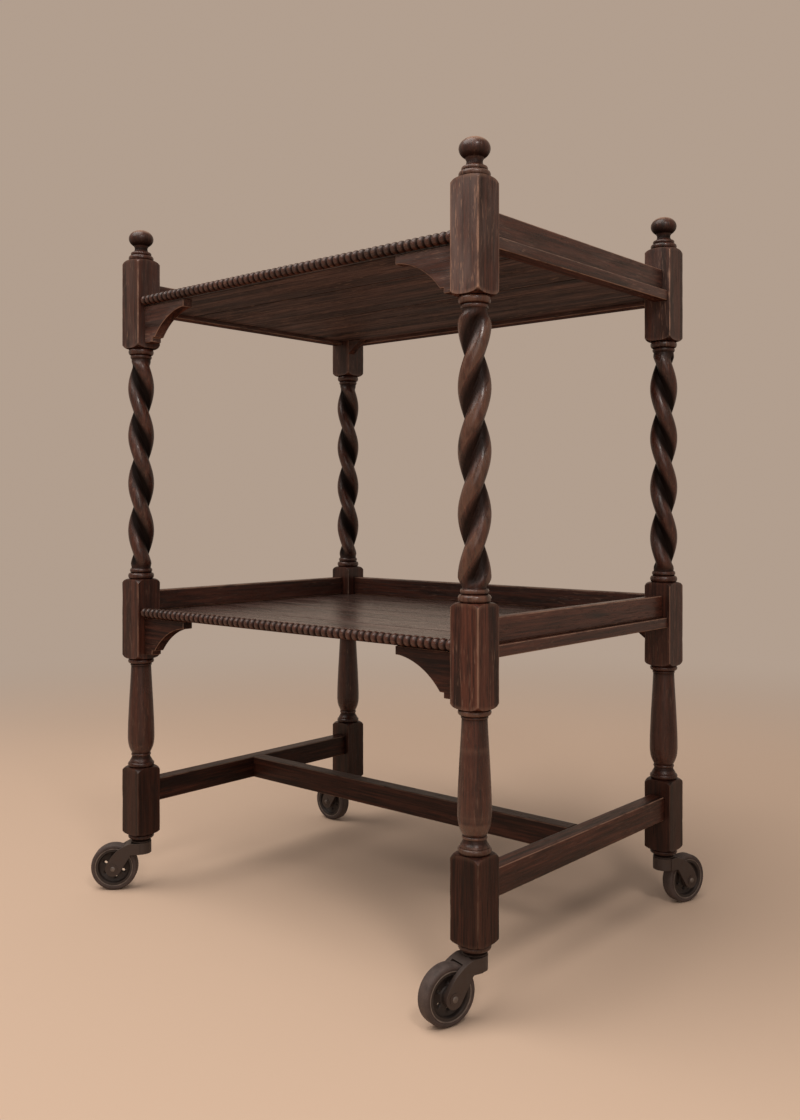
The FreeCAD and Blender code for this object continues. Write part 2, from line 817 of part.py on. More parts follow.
def make_axle(corner):
    """Riveted axle across the two arms of a castor."""
    label = f"castor_axle_{corner}"
    body = doc.addObject("PartDesign::Body", label)
    sketch = new_sketch(body, f"AxleProfile_{corner}", "XY_Plane")
    tip = "fork_width / 2 + axle_overhang"
    draw(sketch, [
        ("0", f"-({tip})"),
        ("axle_radius", f"-({tip})"),
        ("axle_radius", tip),
        ("0", tip),
    ])
    revolve(body, f"AxleTurning_{corner}", sketch)
    place_castor_piece(body, corner, "castor_trail", "tyre_radius")
    return sub_part(body, label)


def mirrored(half):
    """A closed profile from the upper half of one that is the same on both sides of its middle plane."""
    return [(across, f"-({up})") for across, up in half] + half[::-1]


def make_wheel(corner):
    """Iron wheel centre: a hub and a rim with a thin web between them."""
    label = f"castor_wheel_{corner}"
    body = doc.addObject("PartDesign::Body", label)
    sketch = new_sketch(body, f"WheelProfile_{corner}", "XY_Plane")
    bore = "axle_radius + running_clearance"
    rim_inside = "rim_radius - wheel_rim_thickness"
    half = [
        (bore, "wheel_width / 2"),
        ("wheel_hub_radius", "wheel_width / 2"),
        ("wheel_hub_radius", "wheel_web_thickness / 2"),
        (rim_inside, "wheel_web_thickness / 2"),
        (rim_inside, "wheel_width / 2"),
        ("rim_radius", "wheel_width / 2"),
    ]
    draw(sketch, mirrored(half))
    revolve(body, f"WheelTurning_{corner}", sketch)
    place_castor_piece(body, corner, "castor_trail", "tyre_radius")
    return sub_part(body, label)


def make_tyre(corner):
    """Solid rubber tyre with eased shoulders."""
    label = f"castor_tyre_{corner}"
    body = doc.addObject("PartDesign::Body", label)
    sketch = new_sketch(body, f"TyreProfile_{corner}", "XY_Plane")
    inside = "rim_radius + running_clearance"
    side = "tyre_width / 2"
    half = [
        (inside, side),
        ("tyre_radius - tyre_round", side),
        ("tyre_radius", f"{side} - tyre_round"),
    ]
    draw(sketch, mirrored(half))
    revolve(body, f"TyreTurning_{corner}", sketch)
    place_castor_piece(body, corner, "castor_trail", "tyre_radius")
    return sub_part(body, label)


# The whole trolley

for corner in POSTS:
    make_post(corner)
    make_stem(corner)
    make_fork(corner)
    make_axle(corner)
    make_wheel(corner)
    make_tyre(corner)
for tray in TRAYS:
    make_planks(tray)
    make_edges(tray)
    make_rope(tray)
    for corner in ("fr", "fl"):
        make_bracket(tray, corner)
make_glue_block("upper", "rl")
make_glue_block("lower", "rr")
make_end_stretcher("left", -1)
make_end_stretcher("right", 1)
sub_part(make_stretcher("long_stretcher", "YZ_Plane", "long_stretcher_end", "0"), "long_stretcher")
doc.recompute()

# Nothing is written unless every feature and every sub-part came out whole
faults = [thing.Label for thing in doc.Objects if {"Invalid", "Error"} & set(thing.State)]
faults += [
    thing.Label
    for thing in sub_parts
    if thing.Shape.isNull() or not thing.Shape.isValid() or len(thing.Shape.Solids) != 1
]
if faults:
    raise RuntimeError("these did not build: " + ", ".join(sorted(set(faults))))
os.makedirs("parts", exist_ok=True)
for thing in sub_parts:
    thing.Shape.exportStep(f"parts/{thing.Label}.step")
print(len(sub_parts), "sub-parts written")
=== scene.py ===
# Two-tier oak serving trolley: finishes, worn edges, turned posts, beaded mouldings and castors.
# Metres, in the frame's own axes: +Z is up, +X runs along the long side, the open front faces -Y.
import json
import math

import bmesh
import bpy
from mathutils import Matrix, Vector, noise

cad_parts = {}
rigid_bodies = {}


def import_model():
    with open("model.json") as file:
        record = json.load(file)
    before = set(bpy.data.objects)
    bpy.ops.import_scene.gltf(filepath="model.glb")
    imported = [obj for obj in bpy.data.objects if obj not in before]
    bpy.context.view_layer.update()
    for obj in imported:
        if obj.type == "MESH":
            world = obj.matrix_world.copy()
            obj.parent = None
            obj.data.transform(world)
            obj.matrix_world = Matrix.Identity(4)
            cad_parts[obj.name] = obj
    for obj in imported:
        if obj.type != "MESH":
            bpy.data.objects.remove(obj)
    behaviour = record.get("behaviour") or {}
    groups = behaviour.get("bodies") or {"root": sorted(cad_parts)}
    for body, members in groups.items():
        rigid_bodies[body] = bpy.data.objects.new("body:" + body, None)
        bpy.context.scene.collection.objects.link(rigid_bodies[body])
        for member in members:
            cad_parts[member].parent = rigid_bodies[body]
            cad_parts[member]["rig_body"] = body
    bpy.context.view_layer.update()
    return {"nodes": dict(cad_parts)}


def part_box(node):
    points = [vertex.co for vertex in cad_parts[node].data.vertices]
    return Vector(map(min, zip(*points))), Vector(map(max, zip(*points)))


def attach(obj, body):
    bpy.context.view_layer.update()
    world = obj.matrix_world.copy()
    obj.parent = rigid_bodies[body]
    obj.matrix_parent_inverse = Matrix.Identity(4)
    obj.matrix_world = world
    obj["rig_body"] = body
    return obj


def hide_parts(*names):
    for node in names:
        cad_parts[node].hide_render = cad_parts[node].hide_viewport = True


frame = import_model()

MM = 0.001
UP = Vector((0, 0, 1))
CORNERS = ("fr", "fl", "rr", "rl")
TRAYS = ("upper", "lower")

# Levels of a post, in millimetres above the floor
FOOT_LEVEL = 62.0
FOOT_BLOCK = (71.0, 156.0)
MID_BLOCK = (294.0, 395.0)
TWIST = (409.6, 674.0)
TOP_BLOCK = (688.0, 800.0)

# Squared blocks of a post, in millimetres
POST_HALF = 17.0
POMMEL_DROP = 7.5
FOOT_POMMEL_DROP = 4.5
POMMEL_END_RADIUS = 15.6
POMMEL_FULL_RADIUS = 24.2
POMMEL_ROWS = 6
BLOCK_ROW = 4.0
EDGE_EASE = 1.1
EDGE_EASE_SPREAD = 0.7
LEAST_EDGE_EASE = 0.5
FLAT_STEPS = 14
ARC_STEPS = 6
RING_POINTS = 4 * (FLAT_STEPS + ARC_STEPS)

# Knocks and dents along the corners of a block, in waves per millimetre and shares of the ease
KNOCK_RATE = 0.045
KNOCK_SEED = 7.3
DENT_RATE = 0.16
DENT_SEED = 3.1
DENT_LAYER = 5.0
DENT_START = 0.25
DENT_DEPTH = 1.6

# Turned stretches of a post, in millimetres: beads and rings as (low, high, root radius, crest radius),
# ends and curves as points of (level, radius)
FOOT_END = ((FOOT_LEVEL, 11.6), (64.6, 11.6), (64.8, 13.0))
FOOT_BEAD = (65.0, 70.6, 13.6, 16.2)
FOOT_TOP_RADIUS = 14.2
LEG_BASE_RADIUS = 13.8
LEG_BASE_BEAD = (156.2, 162.4, 14.0, 16.4)
LEG_HOLLOW = ((162.6, 14.4), (164.5, 13.6), (167.2, 11.9), (169.8, 11.2))
LEG_BASE_RING = (170.0, 173.2, 11.2, 12.3)
LEG_SWELL = (
    (173.4, 11.3), (177.0, 13.2), (182.5, 15.3), (189.0, 16.35), (196.0, 16.6),
    (212.0, 16.25), (240.0, 14.95), (265.0, 13.5), (284.2, 12.5),
)
LEG_TOP_RING = (284.4, 287.4, 12.3, 13.3)
LEG_TOP_BEAD = (287.7, 293.7, 13.4, 16.3)
BLOCK_NECK_RADIUS = 13.6
LOWER_COLLAR_BEAD = (395.3, 402.6, 13.8, 16.2)
LOWER_COLLAR_GROOVE = (402.9, 13.4)
LOWER_COLLAR_RING = (403.2, 408.4, 12.2, 14.0)
UPPER_COLLAR_RING = (675.4, 679.6, 12.2, 13.4)
UPPER_COLLAR_BEAD = (680.2, 687.7, 13.4, 15.8)
FINIAL_BEAD = (800.3, 806.4, 13.4, 15.6)
FINIAL_RING = (806.7, 811.0, 11.4, 12.9)
FINIAL_NECK = ((811.2, 10.6), (812.4, 9.0), (814.6, 8.0), (817.0, 8.1), (818.4, 8.9))
BALL_MIDDLE = 828.4
BALL_HALF_HEIGHT = 11.3
BALL_RADIUS = 15.4
BALL_ARC = (-52, 87)
BALL_STEPS = 22
BEAD_STEPS = 8
RING_STEPS = 6
CURVE_STEPS = 5
NECK_STEPS = 4
CREASE_ANGLE = math.radians(38)

# Barley twist: two round strands about the post axis, in millimetres and degrees
TWIST_ROW = 2.4
STRAND_RADIUS = 9.5
STRAND_OFFSET = 6.7
TWIST_LEAD = 121.0
TWIST_DATUM = 411.0
TWIST_RUN_IN = (10.0, 12.0)
TWIST_NECK = 11.9
TWIST_SHOULDER = 13.2
SHOULDER_RISE = 6.0
TWIST_TURN = {"fr": 12.9, "fl": 9.7, "rr": 141.5, "rl": 2.3}
TWIST_HAND = {"fr": 1, "fl": -1, "rr": -1, "rl": -1}

# Wear and polish of a post, as shares at reaches and levels in millimetres; wear below nought is dirt and
# painted shade
CORNER_START_WEAR = 0.25
SHOULDER_WEAR = 0.4
BLOCK_WEAR = {FOOT_BLOCK: 0.4, MID_BLOCK: 0.6, TOP_BLOCK: 1.0}
CREST_WEAR = 0.2
HOLLOW_REACH = 5.0
HOLLOW_DEPTH = 1.4
STRAND_WEAR_RADIUS = 13.8
STRAND_WEAR_DEPTH = 3.0
BALL_LEVEL = FINIAL_NECK[-1][0]
# Painted shade over the ball's lower half; rubbed wear and a painted highlight on its crown
BALL_SHADE = 0.85
CROWN_LEVEL = 831.5
CROWN_RISE = 6.5
CROWN_WEAR_AND_HIGHLIGHT = 1.0
# Posts other than the front right are darker all over
POST_DARKENING = {"fr": 0.0, "fl": 0.2, "rr": 0.24, "rl": 0.2}
BLOCK_POLISH = {"fr": 0.0, "fl": 0.5, "rr": 0.5, "rl": 0.5}
TURNED_POLISH = 0.9

# Boards: eased edges and the worn borders, or borders of dirt and painted shade, beside them, in millimetres
PLANKS = ("front", "middle", "rear")
RAIL_SIDES = {"left": "y", "right": "y", "back": "x"}
BRACKET_CORNERS = ("fr", "fl")
GLUE_BLOCKS = {"upper": "rl", "lower": "rr"}
EASE_ANGLE = math.radians(28)
EASE_STEPS = 2
ROUND_PROFILE = 0.5
END_FADE = 3.0
END_REACH = 0.02
WELD_REACH = 0.001
FLAT_ANGLE = math.radians(0.5)
SEAM_EASE = 1.3
SEAM_BORDER = 2.6
# Dirt and painted shade along the seams of the planks, as a share
SEAM_DIRT_AND_SHADE = 1.2
STRIP_EASE = 1.2
GALLERY_EASE = 1.5
RAIL_BORDER = 1.3
RAIL_POLISH = 0.45
BRACKET_EASE = 0.9
BRACKET_BORDER = 1.2
# Painted shade over the brackets and glue blocks under each tray, as shares
BRACKET_SHADE = {"upper": 0.05, "lower": 0.5}
GLUE_BLOCK_EASE = 0.6
TENON = 12.0
STRETCHER_EASE = 1.2
STRETCHER_BORDER = 1.4

# Stretchers: name of the piece, way of its grain and share of the painted shade near the floor
STRETCHERS = {
    "end_stretcher_left": ("left_stretcher", "y", 1.0),
    "end_stretcher_right": ("right_stretcher", "y", 0.15),
    "long_stretcher": ("middle_stretcher", "x", 1.1),
}

# Beaded front moulding, in millimetres, and the unevenness and wear of its beads, as shares; below nought the
# wear is dirt and painted shade in the gaps
MOULDING_BEADS = 56
MOULDING_STEPS = 10
MOULDING_SIDES = 26
MOULDING_ROOT = 3.9
MOULDING_FULLNESS = 0.75
MOULDING_SWELL = 0.9
MOULDING_SWELL_SPREAD = 0.1
MOULDING_SWELL_RATE = 0.9
MOULDING_WEAR = 0.05
MOULDING_WEAR_GAIN = 2.4
MOULDING_WEAR_DROP = 2.0

# Castors, in millimetres
CASTOR_SIDES = 72
RUNNING_CLEARANCE = 0.05
TYRE_RADIUS = 29.0
TYRE_HALF_WIDTH = 7.75
TYRE_SHOULDER = 3.4
RIM_RADIUS = 22.4
WHEEL_HALF_WIDTH = 7.0
WEB_HALF_WIDTH = 2.2
WEB_FILLET_RISE = 1.0
HUB_RADIUS = 7.4
HUB_EASE = 0.8
HUB_DRAFT = 0.6
HUB_FILLET = 1.2
RIM_INNER_RADIUS = 19.4
RIM_EASE = (0.7, 0.9)
RIM_DRAFT = 0.6
RIM_FILLET = 1.4
WEB_HOLES = 6
WEB_HOLE_RADIUS = 2.2
WEB_HOLE_CIRCLE = 12.0
WEB_HOLE_START = 0.5
AXLE_RADIUS = 3.0
WASHER_RADIUS = 5.6
WASHER_RISE = 2.0
RIVET_RADIUS = 3.1
RIVET_RISE = 1.4
# Rivet heads are rubbed bright and carry a painted highlight, as a share
RIVET_RUB_AND_HIGHLIGHT = 0.6
ROUND_STEPS = 6
TIP_RADIUS = 0.6
PIN_RADIUS = 4.0
PEG_RADIUS = 4.6
PEG_CHAMFER = 1.0
FORK_EASE = 0.8
FORK_BORDER = 0.5
# Head of the swivel pin as (radius, rise), flange as (radius, drop under the post's foot), and the tyre's
# pale lip as (step out from the rim, step along the axle, rub)
PIN_HEAD = ((TIP_RADIUS, 0.0), (3.6, 0.2), (5.4, 1.0), (6.0, 2.0), (PIN_RADIUS, 2.3))
FLANGE = ((PIN_RADIUS, 1.5), (11.6, 1.5), (12.4, 0.9), (12.4, 0.3), (12.0, 0.0), (PEG_RADIUS, 0.0))
TYRE_LIP = ((0.0, -0.6, 0.2), (0.5, 0.0, 1.0), (1.1, 0.0, 1.0), (1.4, -0.45, 0.0), (1.8, -0.2, 0.0))
TREAD_RUB = 0.1

# Dust high up and painted shade near the floor, as shares between levels in metres
DUST_LEVELS = (0.45, 0.72)
LEAST_DUST = 0.06
FLOOR_SHADE_LEVELS = (0.145, 0.185)
FLOOR_SHADE = 0.45

# Grain: axes along and across it, and the seeds that set each piece's figure apart
GRAIN_ORDER = {"x": (0, 1, 2), "y": (1, 0, 2), "z": (2, 0, 1)}
GRAIN_SHIFT = (1.37, 0.71, 0.43)
TRAY_SEED = 10
GALLERY_SEED = 3.5
MOULDING_SEED = 30
BRACKET_SEED = 46
GLUE_BLOCK_SEED = 51
STRETCHER_SEED = 53

# Oak: its two finishes in linear colours, and textures in waves per metre along and across the grain
# Dark colour of dirt, also painted into hollows, under things and low down as painted shade
DIRT_AND_SHADE = (0.008, 0.0045, 0.0035, 1)
DARK_OAK = {
    "dark": (0.016, 0.005, 0.0034, 1),
    "middle": (0.098, 0.03, 0.0175, 1),
    "worn": (0.31, 0.172, 0.115, 1),
    "bloom": (0.128, 0.09, 0.08, 1),
    "roughness": 0.38,
    "sheen": 0.24,
}
TRAY_OAK = {
    "dark": (0.016, 0.0085, 0.0078, 1),
    "middle": (0.125, 0.067, 0.054, 1),
    "worn": (0.28, 0.16, 0.11, 1),
    "bloom": (0.1, 0.068, 0.058, 1),
    "roughness": 0.25,
    "sheen": 0.68,
}
OAK_TEXTURES = {
    "fibres": {"along": 13, "across": 430, "detail": 5, "roughness": 0.65, "distortion": 0.3},
    "bands": {"along": 2.4, "across": 66, "detail": 3, "distortion": 1.2},
    "pores": {"along": 42, "across": 1150, "detail": 2},
    "patches": {"along": 8, "across": 34, "detail": 5, "roughness": 0.62},
    "smudges": {"along": 9, "across": 78, "detail": 5, "roughness": 0.6},
    "scuffs": {"along": 60, "across": 560, "detail": 2, "roughness": 0.6},
    "chips": {"along": 48, "across": 150, "detail": 3},
}

# Oak: the range over which each texture or share comes in, and how much it does
WHOLE = (0.0, 1.0)
FIGURE_SHARE = 0.5
FIGURE_RANGE = (0.42, 0.6)
EVEN_SHADE = 0.43
POLISH_EVENNESS = 0.55
PORE_RANGE = (0.57, 0.69)
PORE_DIRT = 0.85
UNDERSIDE_RANGE = (-0.9, -0.5)
DUST_RANGE = (0.4, 0.66)
DUST_AMOUNT = (0.1, 0.75)
SMUDGE_RANGE = (0.53, 0.68)
SMUDGE_DIRT = (0.0, 0.75)
SCUFF_RANGE = (0.585, 0.68)
SCUFFED_PATCH_RANGE = (0.42, 0.58)
SCUFFED_DUST_RANGE = (-0.5, 0.8)
SCUFF_AMOUNT = 0.65
CHIP_RANGE = (0.36, 0.52)
CHIP_AMOUNT = (0.25, 1.0)
HOLLOW_DIRT_AND_SHADE = 0.85
PATCH_RANGE = (0.3, 0.7)
PATCH_ROUGHNESS = (-0.06, 0.08)
PORE_ROUGHNESS = 0.15
POLISH_SMOOTHNESS = 0.15
HOLLOW_ROUGHNESS = 0.3
UNDERSIDE_ROUGHNESS = 0.4
POLISH_WAX = 0.22
UNDERSIDE_WAX = 0.1
HOLLOW_WAX = 0.1
FLOOR_SHADE_WAX_RANGE = (0.0, 0.7)
FLOOR_SHADE_WAX = 0.45
OAK_RELIEF = (0.4, 0.0004)

# Iron and rubber: linear colours, textures in waves per metre, ranges and amounts; a relief is its
# strength and its depth in metres
CASTOR_IRON = {"base": (0.038, 0.025, 0.021, 1), "rust": (0.042, 0.024, 0.017, 1), "roughness": 0.48}
WHEEL_IRON = {"base": (0.024, 0.017, 0.015, 1), "rust": (0.026, 0.015, 0.011, 1), "roughness": 0.55}
BRIGHT_IRON = (0.23, 0.19, 0.16, 1)
RUST_TEXTURE = {"scale": 120, "detail": 6, "roughness": 0.65}
PIT_TEXTURE = {"scale": 900, "detail": 3}
RUST_RANGE = (0.4, 0.7)
IRON_RUB_RANGE = (0.35, 0.6)
IRON_RUB = (0.2, 0.9)
IRON_ROUGHNESS = (-0.1, 0.15)
IRON_METAL = 0.15
IRON_RELIEF = (0.25, 0.0003)
CLEAN_RUBBER = (0.03, 0.0185, 0.016, 1)
DUSTY_RUBBER = (0.072, 0.047, 0.041, 1)
RUBBER_SPECKS = (0.16, 0.12, 0.1, 1)
RUBBED_RUBBER = (0.19, 0.145, 0.115, 1)
RUBBER_DUST_TEXTURE = {"scale": 90, "detail": 6, "roughness": 0.7}
SPECK_TEXTURE = {"scale": 1400, "detail": 2}
RUBBER_DUST_RANGE = (0.35, 0.7)
SPECK_RANGE = (0.6, 0.72)
SPECK_AMOUNT = (0.0, 0.5)
RUBBER_RUB_RANGE = (0.35, 0.6)
RUBBER_RUB = (0.3, 1.0)
RUBBER_ROUGHNESS = (0.6, 0.85)
RUBBER_RELIEF = (0.2, 0.0003)

# Studio, in metres, watts and linear colours
BACKDROP = (0.445, 0.345, 0.273, 1)
AROUND_COLOUR = (0.62, 0.6, 0.58, 1)
AROUND_STRENGTH = 0.42
FLOOR_COLOUR = (0.66, 0.47, 0.345, 1)
FLOOR_ROUGHNESS = 0.8
FLOOR_RADIUS = 9.0
FLOOR_SIDES = 64
FLOOR_FADE = (0.75, 2.4)
LAMP_AIM = Vector((0.0, 0.0, 0.42))
LAMPS = {
    "key": {"place": (-0.5, -1.35, 3.1), "size": 3.4, "power": 90.0, "colour": (1.0, 0.95, 0.89)},
    "fill": {"place": (1.7, -1.8, 1.2), "size": 1.8, "power": 9.0, "colour": (1.0, 0.95, 0.9)},
    "glint": {"place": (1.4, -0.95, 1.85), "size": 0.4, "power": 9.0, "colour": (1.0, 0.95, 0.9)},
}

# Camera: place in metres, level way in plan, lens and film height in millimetres, and shift
CAMERA_PLACE = (0.8934, -1.0195, 0.4857)
CAMERA_WAY = (-0.6566, 0.7543)
CAMERA_LENS = 34.88
CAMERA_FILM = 36.0
CAMERA_SHIFT = -0.0468


# Meshes

def smooth(share):
    """Ease a share between 0 and 1 at both ends."""
    share = min(max(share, 0.0), 1.0)
    return share * share * (3 - 2 * share)


def link_piece(name, mesh):
    """An object in the scene with the given mesh."""
    piece = bpy.data.objects.new(name, mesh)
    bpy.context.scene.collection.objects.link(piece)
    return piece


def add_piece(name, points, faces, flat_faces=(), crisp=(), row_length=1):
    """A mesh object from points in metres; edges along a crisp row of points keep a hard line."""
    mesh = bpy.data.meshes.new(name)
    mesh.from_pydata(points, [], faces)
    outward = bmesh.new()
    outward.from_mesh(mesh)
    bmesh.ops.recalc_face_normals(outward, faces=outward.faces)
    outward.to_mesh(mesh)
    outward.free()
    for index, polygon in enumerate(mesh.polygons):
        polygon.use_smooth = index not in flat_faces
    if crisp:
        for edge in mesh.edges:
            row, other = (index // row_length for index in edge.vertices)
            edge.use_edge_sharp = row == other and row in crisp
    return link_piece(name, mesh)


def skin(rings, closed=False):
    """Faces between rings of the same count of points, and the end caps of an open stack."""
    count = len(rings[0])
    total = len(rings)
    faces = []
    for row in range(total if closed else total - 1):
        low = row * count
        high = (row + 1) % total * count
        for i in range(count):
            j = (i + 1) % count
            faces.append((low + i, low + j, high + j, high + i))
    caps = ()
    if not closed:
        caps = (len(faces), len(faces) + 1)
        faces.append(tuple(range(count - 1, -1, -1)))
        faces.append(tuple(range((total - 1) * count, total * count)))
    return faces, caps


def creases(profile, closed=False):
    """Rows at which a profile turns sharply; the ends of an open one don't count."""
    count = len(profile)
    sharp = set()
    for i in range(count) if closed else range(1, count - 1):
        way_in = Vector(profile[i]) - Vector(profile[i - 1])
        way_out = Vector(profile[(i + 1) % count]) - Vector(profile[i])
        if way_in.length > 0 and way_out.length > 0 and way_in.angle(way_out) > CREASE_ANGLE:
            sharp.add(i)
    return sharp


def dust_and_floor_shade_at(level):
    """Dusty bloom high up as a positive share, and painted shade near the floor as a negative one."""
    start, full = DUST_LEVELS
    low, high = FLOOR_SHADE_LEVELS
    bloom = LEAST_DUST + (1 - LEAST_DUST) * smooth((level - start) / (full - start))
    return bloom - (FLOOR_SHADE + LEAST_DUST) * (1 - smooth((level - low) / (high - low)))


def set_looks(piece, along, wear, seed, polish=None, floor_shade=1.0):
    """Store the way of the grain and each point's wear, polish, dust and painted shade, for the finish to
    read.
    """
    mesh = piece.data
    polish = polish or [0.0] * len(mesh.vertices)
    shift = Vector([seed * step for step in GRAIN_SHIFT])
    grain = []
    for vertex in mesh.vertices:
        grain.extend(vertex.co[axis] + shift[i] for i, axis in enumerate(GRAIN_ORDER[along]))
    heights = [dust_and_floor_shade_at(vertex.co.z) for vertex in mesh.vertices]
    dust = [share * (1 - rubbed if share > 0 else floor_shade) for share, rubbed in zip(heights, polish)]
    mesh.attributes.new("grain", "FLOAT_VECTOR", "POINT").data.foreach_set("vector", grain)
    for name, values in (("wear", wear), ("polish", polish), ("dust", dust)):
        mesh.attributes.new(name, "FLOAT", "POINT").data.foreach_set("value", values)


def dress(piece, node, slot):
    """Give a piece the finish of a slot, and let it stand for a node and ride with that node's body."""
    piece.data.materials.clear()
    piece.data.materials.append(finishes[slot])
    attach(piece, frame["nodes"][node]["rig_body"])
    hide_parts(node)


# Posts

def bead(low, high, root, crest, steps=BEAD_STEPS):
    """Half-round turned bead as (level, radius)."""
    middle = (low + high) / 2
    half = (high - low) / 2
    angles = [math.pi * i / steps for i in range(steps + 1)]
    return [(middle - half * math.cos(a), root + (crest - root) * math.sin(a)) for a in angles]


def curve_value(before, start, end, after, share):
    """A value on the smooth curve from start to end, which leans on its neighbours."""
    slope = end - before
    bend = 2 * before - 5 * start + 4 * end - after
    sway = 3 * start - before - 3 * end + after
    return 0.5 * (2 * start + slope * share + bend * share**2 + sway * share**3)


def curve(knots, steps=CURVE_STEPS):
    """Smooth turned curve through knots of (level, radius)."""
    path = []
    for i in range(len(knots) - 1):
        near = (knots[max(i - 1, 0)], knots[i], knots[i + 1], knots[min(i + 2, len(knots) - 1)])
        for step in range(steps):
            path.append(tuple(curve_value(*values, step / steps) for values in zip(*near)))
    return path + [knots[-1]]


def foot_profile():
    """Turned foot under the lowest block."""
    return [*FOOT_END, *bead(*FOOT_BEAD), (FOOT_BLOCK[0], FOOT_TOP_RADIUS)]


def leg_profile():
    """Baluster leg between the foot block and the middle block."""
    return [
        (FOOT_BLOCK[1], LEG_BASE_RADIUS),
        *bead(*LEG_BASE_BEAD),
        *curve(LEG_HOLLOW),
        *bead(*LEG_BASE_RING, RING_STEPS),
        *curve(LEG_SWELL),
        *bead(*LEG_TOP_RING, RING_STEPS),
        *bead(*LEG_TOP_BEAD),
        (MID_BLOCK[0], BLOCK_NECK_RADIUS),
    ]


def lower_collar_profile():
    """Bead and ring between the middle block and the twist."""
    return [
        (MID_BLOCK[1], BLOCK_NECK_RADIUS),
        *bead(*LOWER_COLLAR_BEAD),
        LOWER_COLLAR_GROOVE,
        *bead(*LOWER_COLLAR_RING, RING_STEPS),
    ]


def upper_collar_profile():
    """Thin ring and bead between the twist and the top block."""
    return [
        *bead(*UPPER_COLLAR_RING, RING_STEPS),
        *bead(*UPPER_COLLAR_BEAD),
        (TOP_BLOCK[0], BLOCK_NECK_RADIUS),
    ]


def finial_profile():
    """Bead, ring, neck and flattened ball on the post's top."""
    start, end = BALL_ARC
    angles = [math.radians(start + (end - start) * i / BALL_STEPS) for i in range(BALL_STEPS + 1)]
    return [
        (TOP_BLOCK[1], BLOCK_NECK_RADIUS),
        *bead(*FINIAL_BEAD),
        *bead(*FINIAL_RING, RING_STEPS),
        *curve(FINIAL_NECK, NECK_STEPS),
        *((BALL_MIDDLE + BALL_HALF_HEIGHT * math.sin(a), BALL_RADIUS * math.cos(a)) for a in angles),
    ]


def square_points(ease):
    """Points round a square post with eased corners, as (x, y, nearness to a corner)."""
    points = []
    inner = POST_HALF - ease
    for side in range(4):
        turn = Matrix.Rotation(math.pi / 2 * side, 2)
        for i in range(FLAT_STEPS):
            across = -inner + 2 * inner * i / FLAT_STEPS
            points.append((*(turn @ Vector((POST_HALF, across))), CORNER_START_WEAR if i == 0 else 0.0))
        for i in range(ARC_STEPS):
            angle = math.pi / 2 * i / ARC_STEPS
            corner = Vector((inner + ease * math.cos(angle), inner + ease * math.sin(angle)))
            points.append((*(turn @ corner), CORNER_START_WEAR if i == 0 else 1.0))
    return points


def eased_square(level, seed):
    """The square section at a level, where years of knocks have rounded its corners unevenly."""
    knock = noise.noise(Vector((level * KNOCK_RATE, seed * KNOCK_SEED, 0.0)))
    dent = max(noise.noise(Vector((level * DENT_RATE, seed * DENT_SEED, DENT_LAYER))) - DENT_START, 0.0)
    return square_points(max(EDGE_EASE + EDGE_EASE_SPREAD * (knock + DENT_DEPTH * dent), LEAST_EDGE_EASE))


def pommel_rows(level, drop, worn, seed):
    """Rows of a block's end, rounded on the lathe, from its round neck out to the square section."""
    rise = POMMEL_FULL_RADIUS - POMMEL_END_RADIUS
    section = eased_square(level, seed)
    rows = []
    for row in range(POMMEL_ROWS + 1):
        ring = []
        for x, y, near in section:
            full = math.hypot(x, y)
            reach = POMMEL_END_RADIUS + (full - POMMEL_END_RADIUS) * row / POMMEL_ROWS
            scale = reach / full
            share = min((reach - POMMEL_END_RADIUS) / rise, 1.0)
            edge = worn * max(near, SHOULDER_WEAR) if row == POMMEL_ROWS else 0.0
            ring.append((x * scale, y * scale, level + drop * (1 - math.sqrt(1 - share**2)), edge))
        rows.append(ring)
    return rows


def block_rows(low, high, seed):
    """Rows of a squared block as lists of (x, y, z, wear), and the two rows where its flats begin and end."""
    worn = BLOCK_WEAR[low, high]
    low_drop = FOOT_POMMEL_DROP if low == FOOT_BLOCK[0] else POMMEL_DROP
    bottom = pommel_rows(low, low_drop, worn, seed)
    top = pommel_rows(high, -POMMEL_DROP, worn, seed)
    count = round((high - low) / BLOCK_ROW)
    flats = []
    for row in range(1, count):
        share = row / count
        section = eased_square(low + (high - low) * share, seed)
        ring = []
        for (x, y, near), under, over in zip(section, bottom[-1], top[-1]):
            ring.append((x, y, under[2] + (over[2] - under[2]) * share, worn * near))
        flats.append(ring)
    return bottom + flats + top[::-1], (POMMEL_ROWS, POMMEL_ROWS + count)


def turned_rows(profile):
    """Rows of a turned stretch; hollows hold dirt and painted shade, crests are rubbed, and the finial's
    crown most.
    """
    angles = [math.atan2(y, x) for x, y, near in square_points(EDGE_EASE)]
    rows = []
    for level, radius in profile:
        near = [r for z, r in profile if abs(z - level) < HOLLOW_REACH]
        wear = min(max((radius - sum(near) / len(near)) / HOLLOW_DEPTH, -1.0), CREST_WEAR)
        # The ball's crown is rubbed and carries a painted highlight, its lower half painted shade
        if level > BALL_LEVEL:
            wear = CROWN_WEAR_AND_HIGHLIGHT * smooth((level - CROWN_LEVEL) / CROWN_RISE)
            wear -= BALL_SHADE * smooth((CROWN_LEVEL - level) / (CROWN_LEVEL - BALL_LEVEL))
        rows.append([(radius * math.cos(a), radius * math.sin(a), level, wear) for a in angles])
    return rows


def strand_section():
    """Section of the twist as (reach, angle), from the groove before one strand round both."""
    per_strand = RING_POINTS // 2
    to_groove = math.pi - math.acos(STRAND_OFFSET / STRAND_RADIUS)
    section = []
    for strand in range(2):
        for i in range(per_strand):
            angle = to_groove * (2 * i / per_strand - 1)
            x = STRAND_OFFSET + STRAND_RADIUS * math.cos(angle)
            y = STRAND_RADIUS * math.sin(angle)
            section.append((math.hypot(x, y), math.atan2(y, x) + math.pi * strand))
    return section


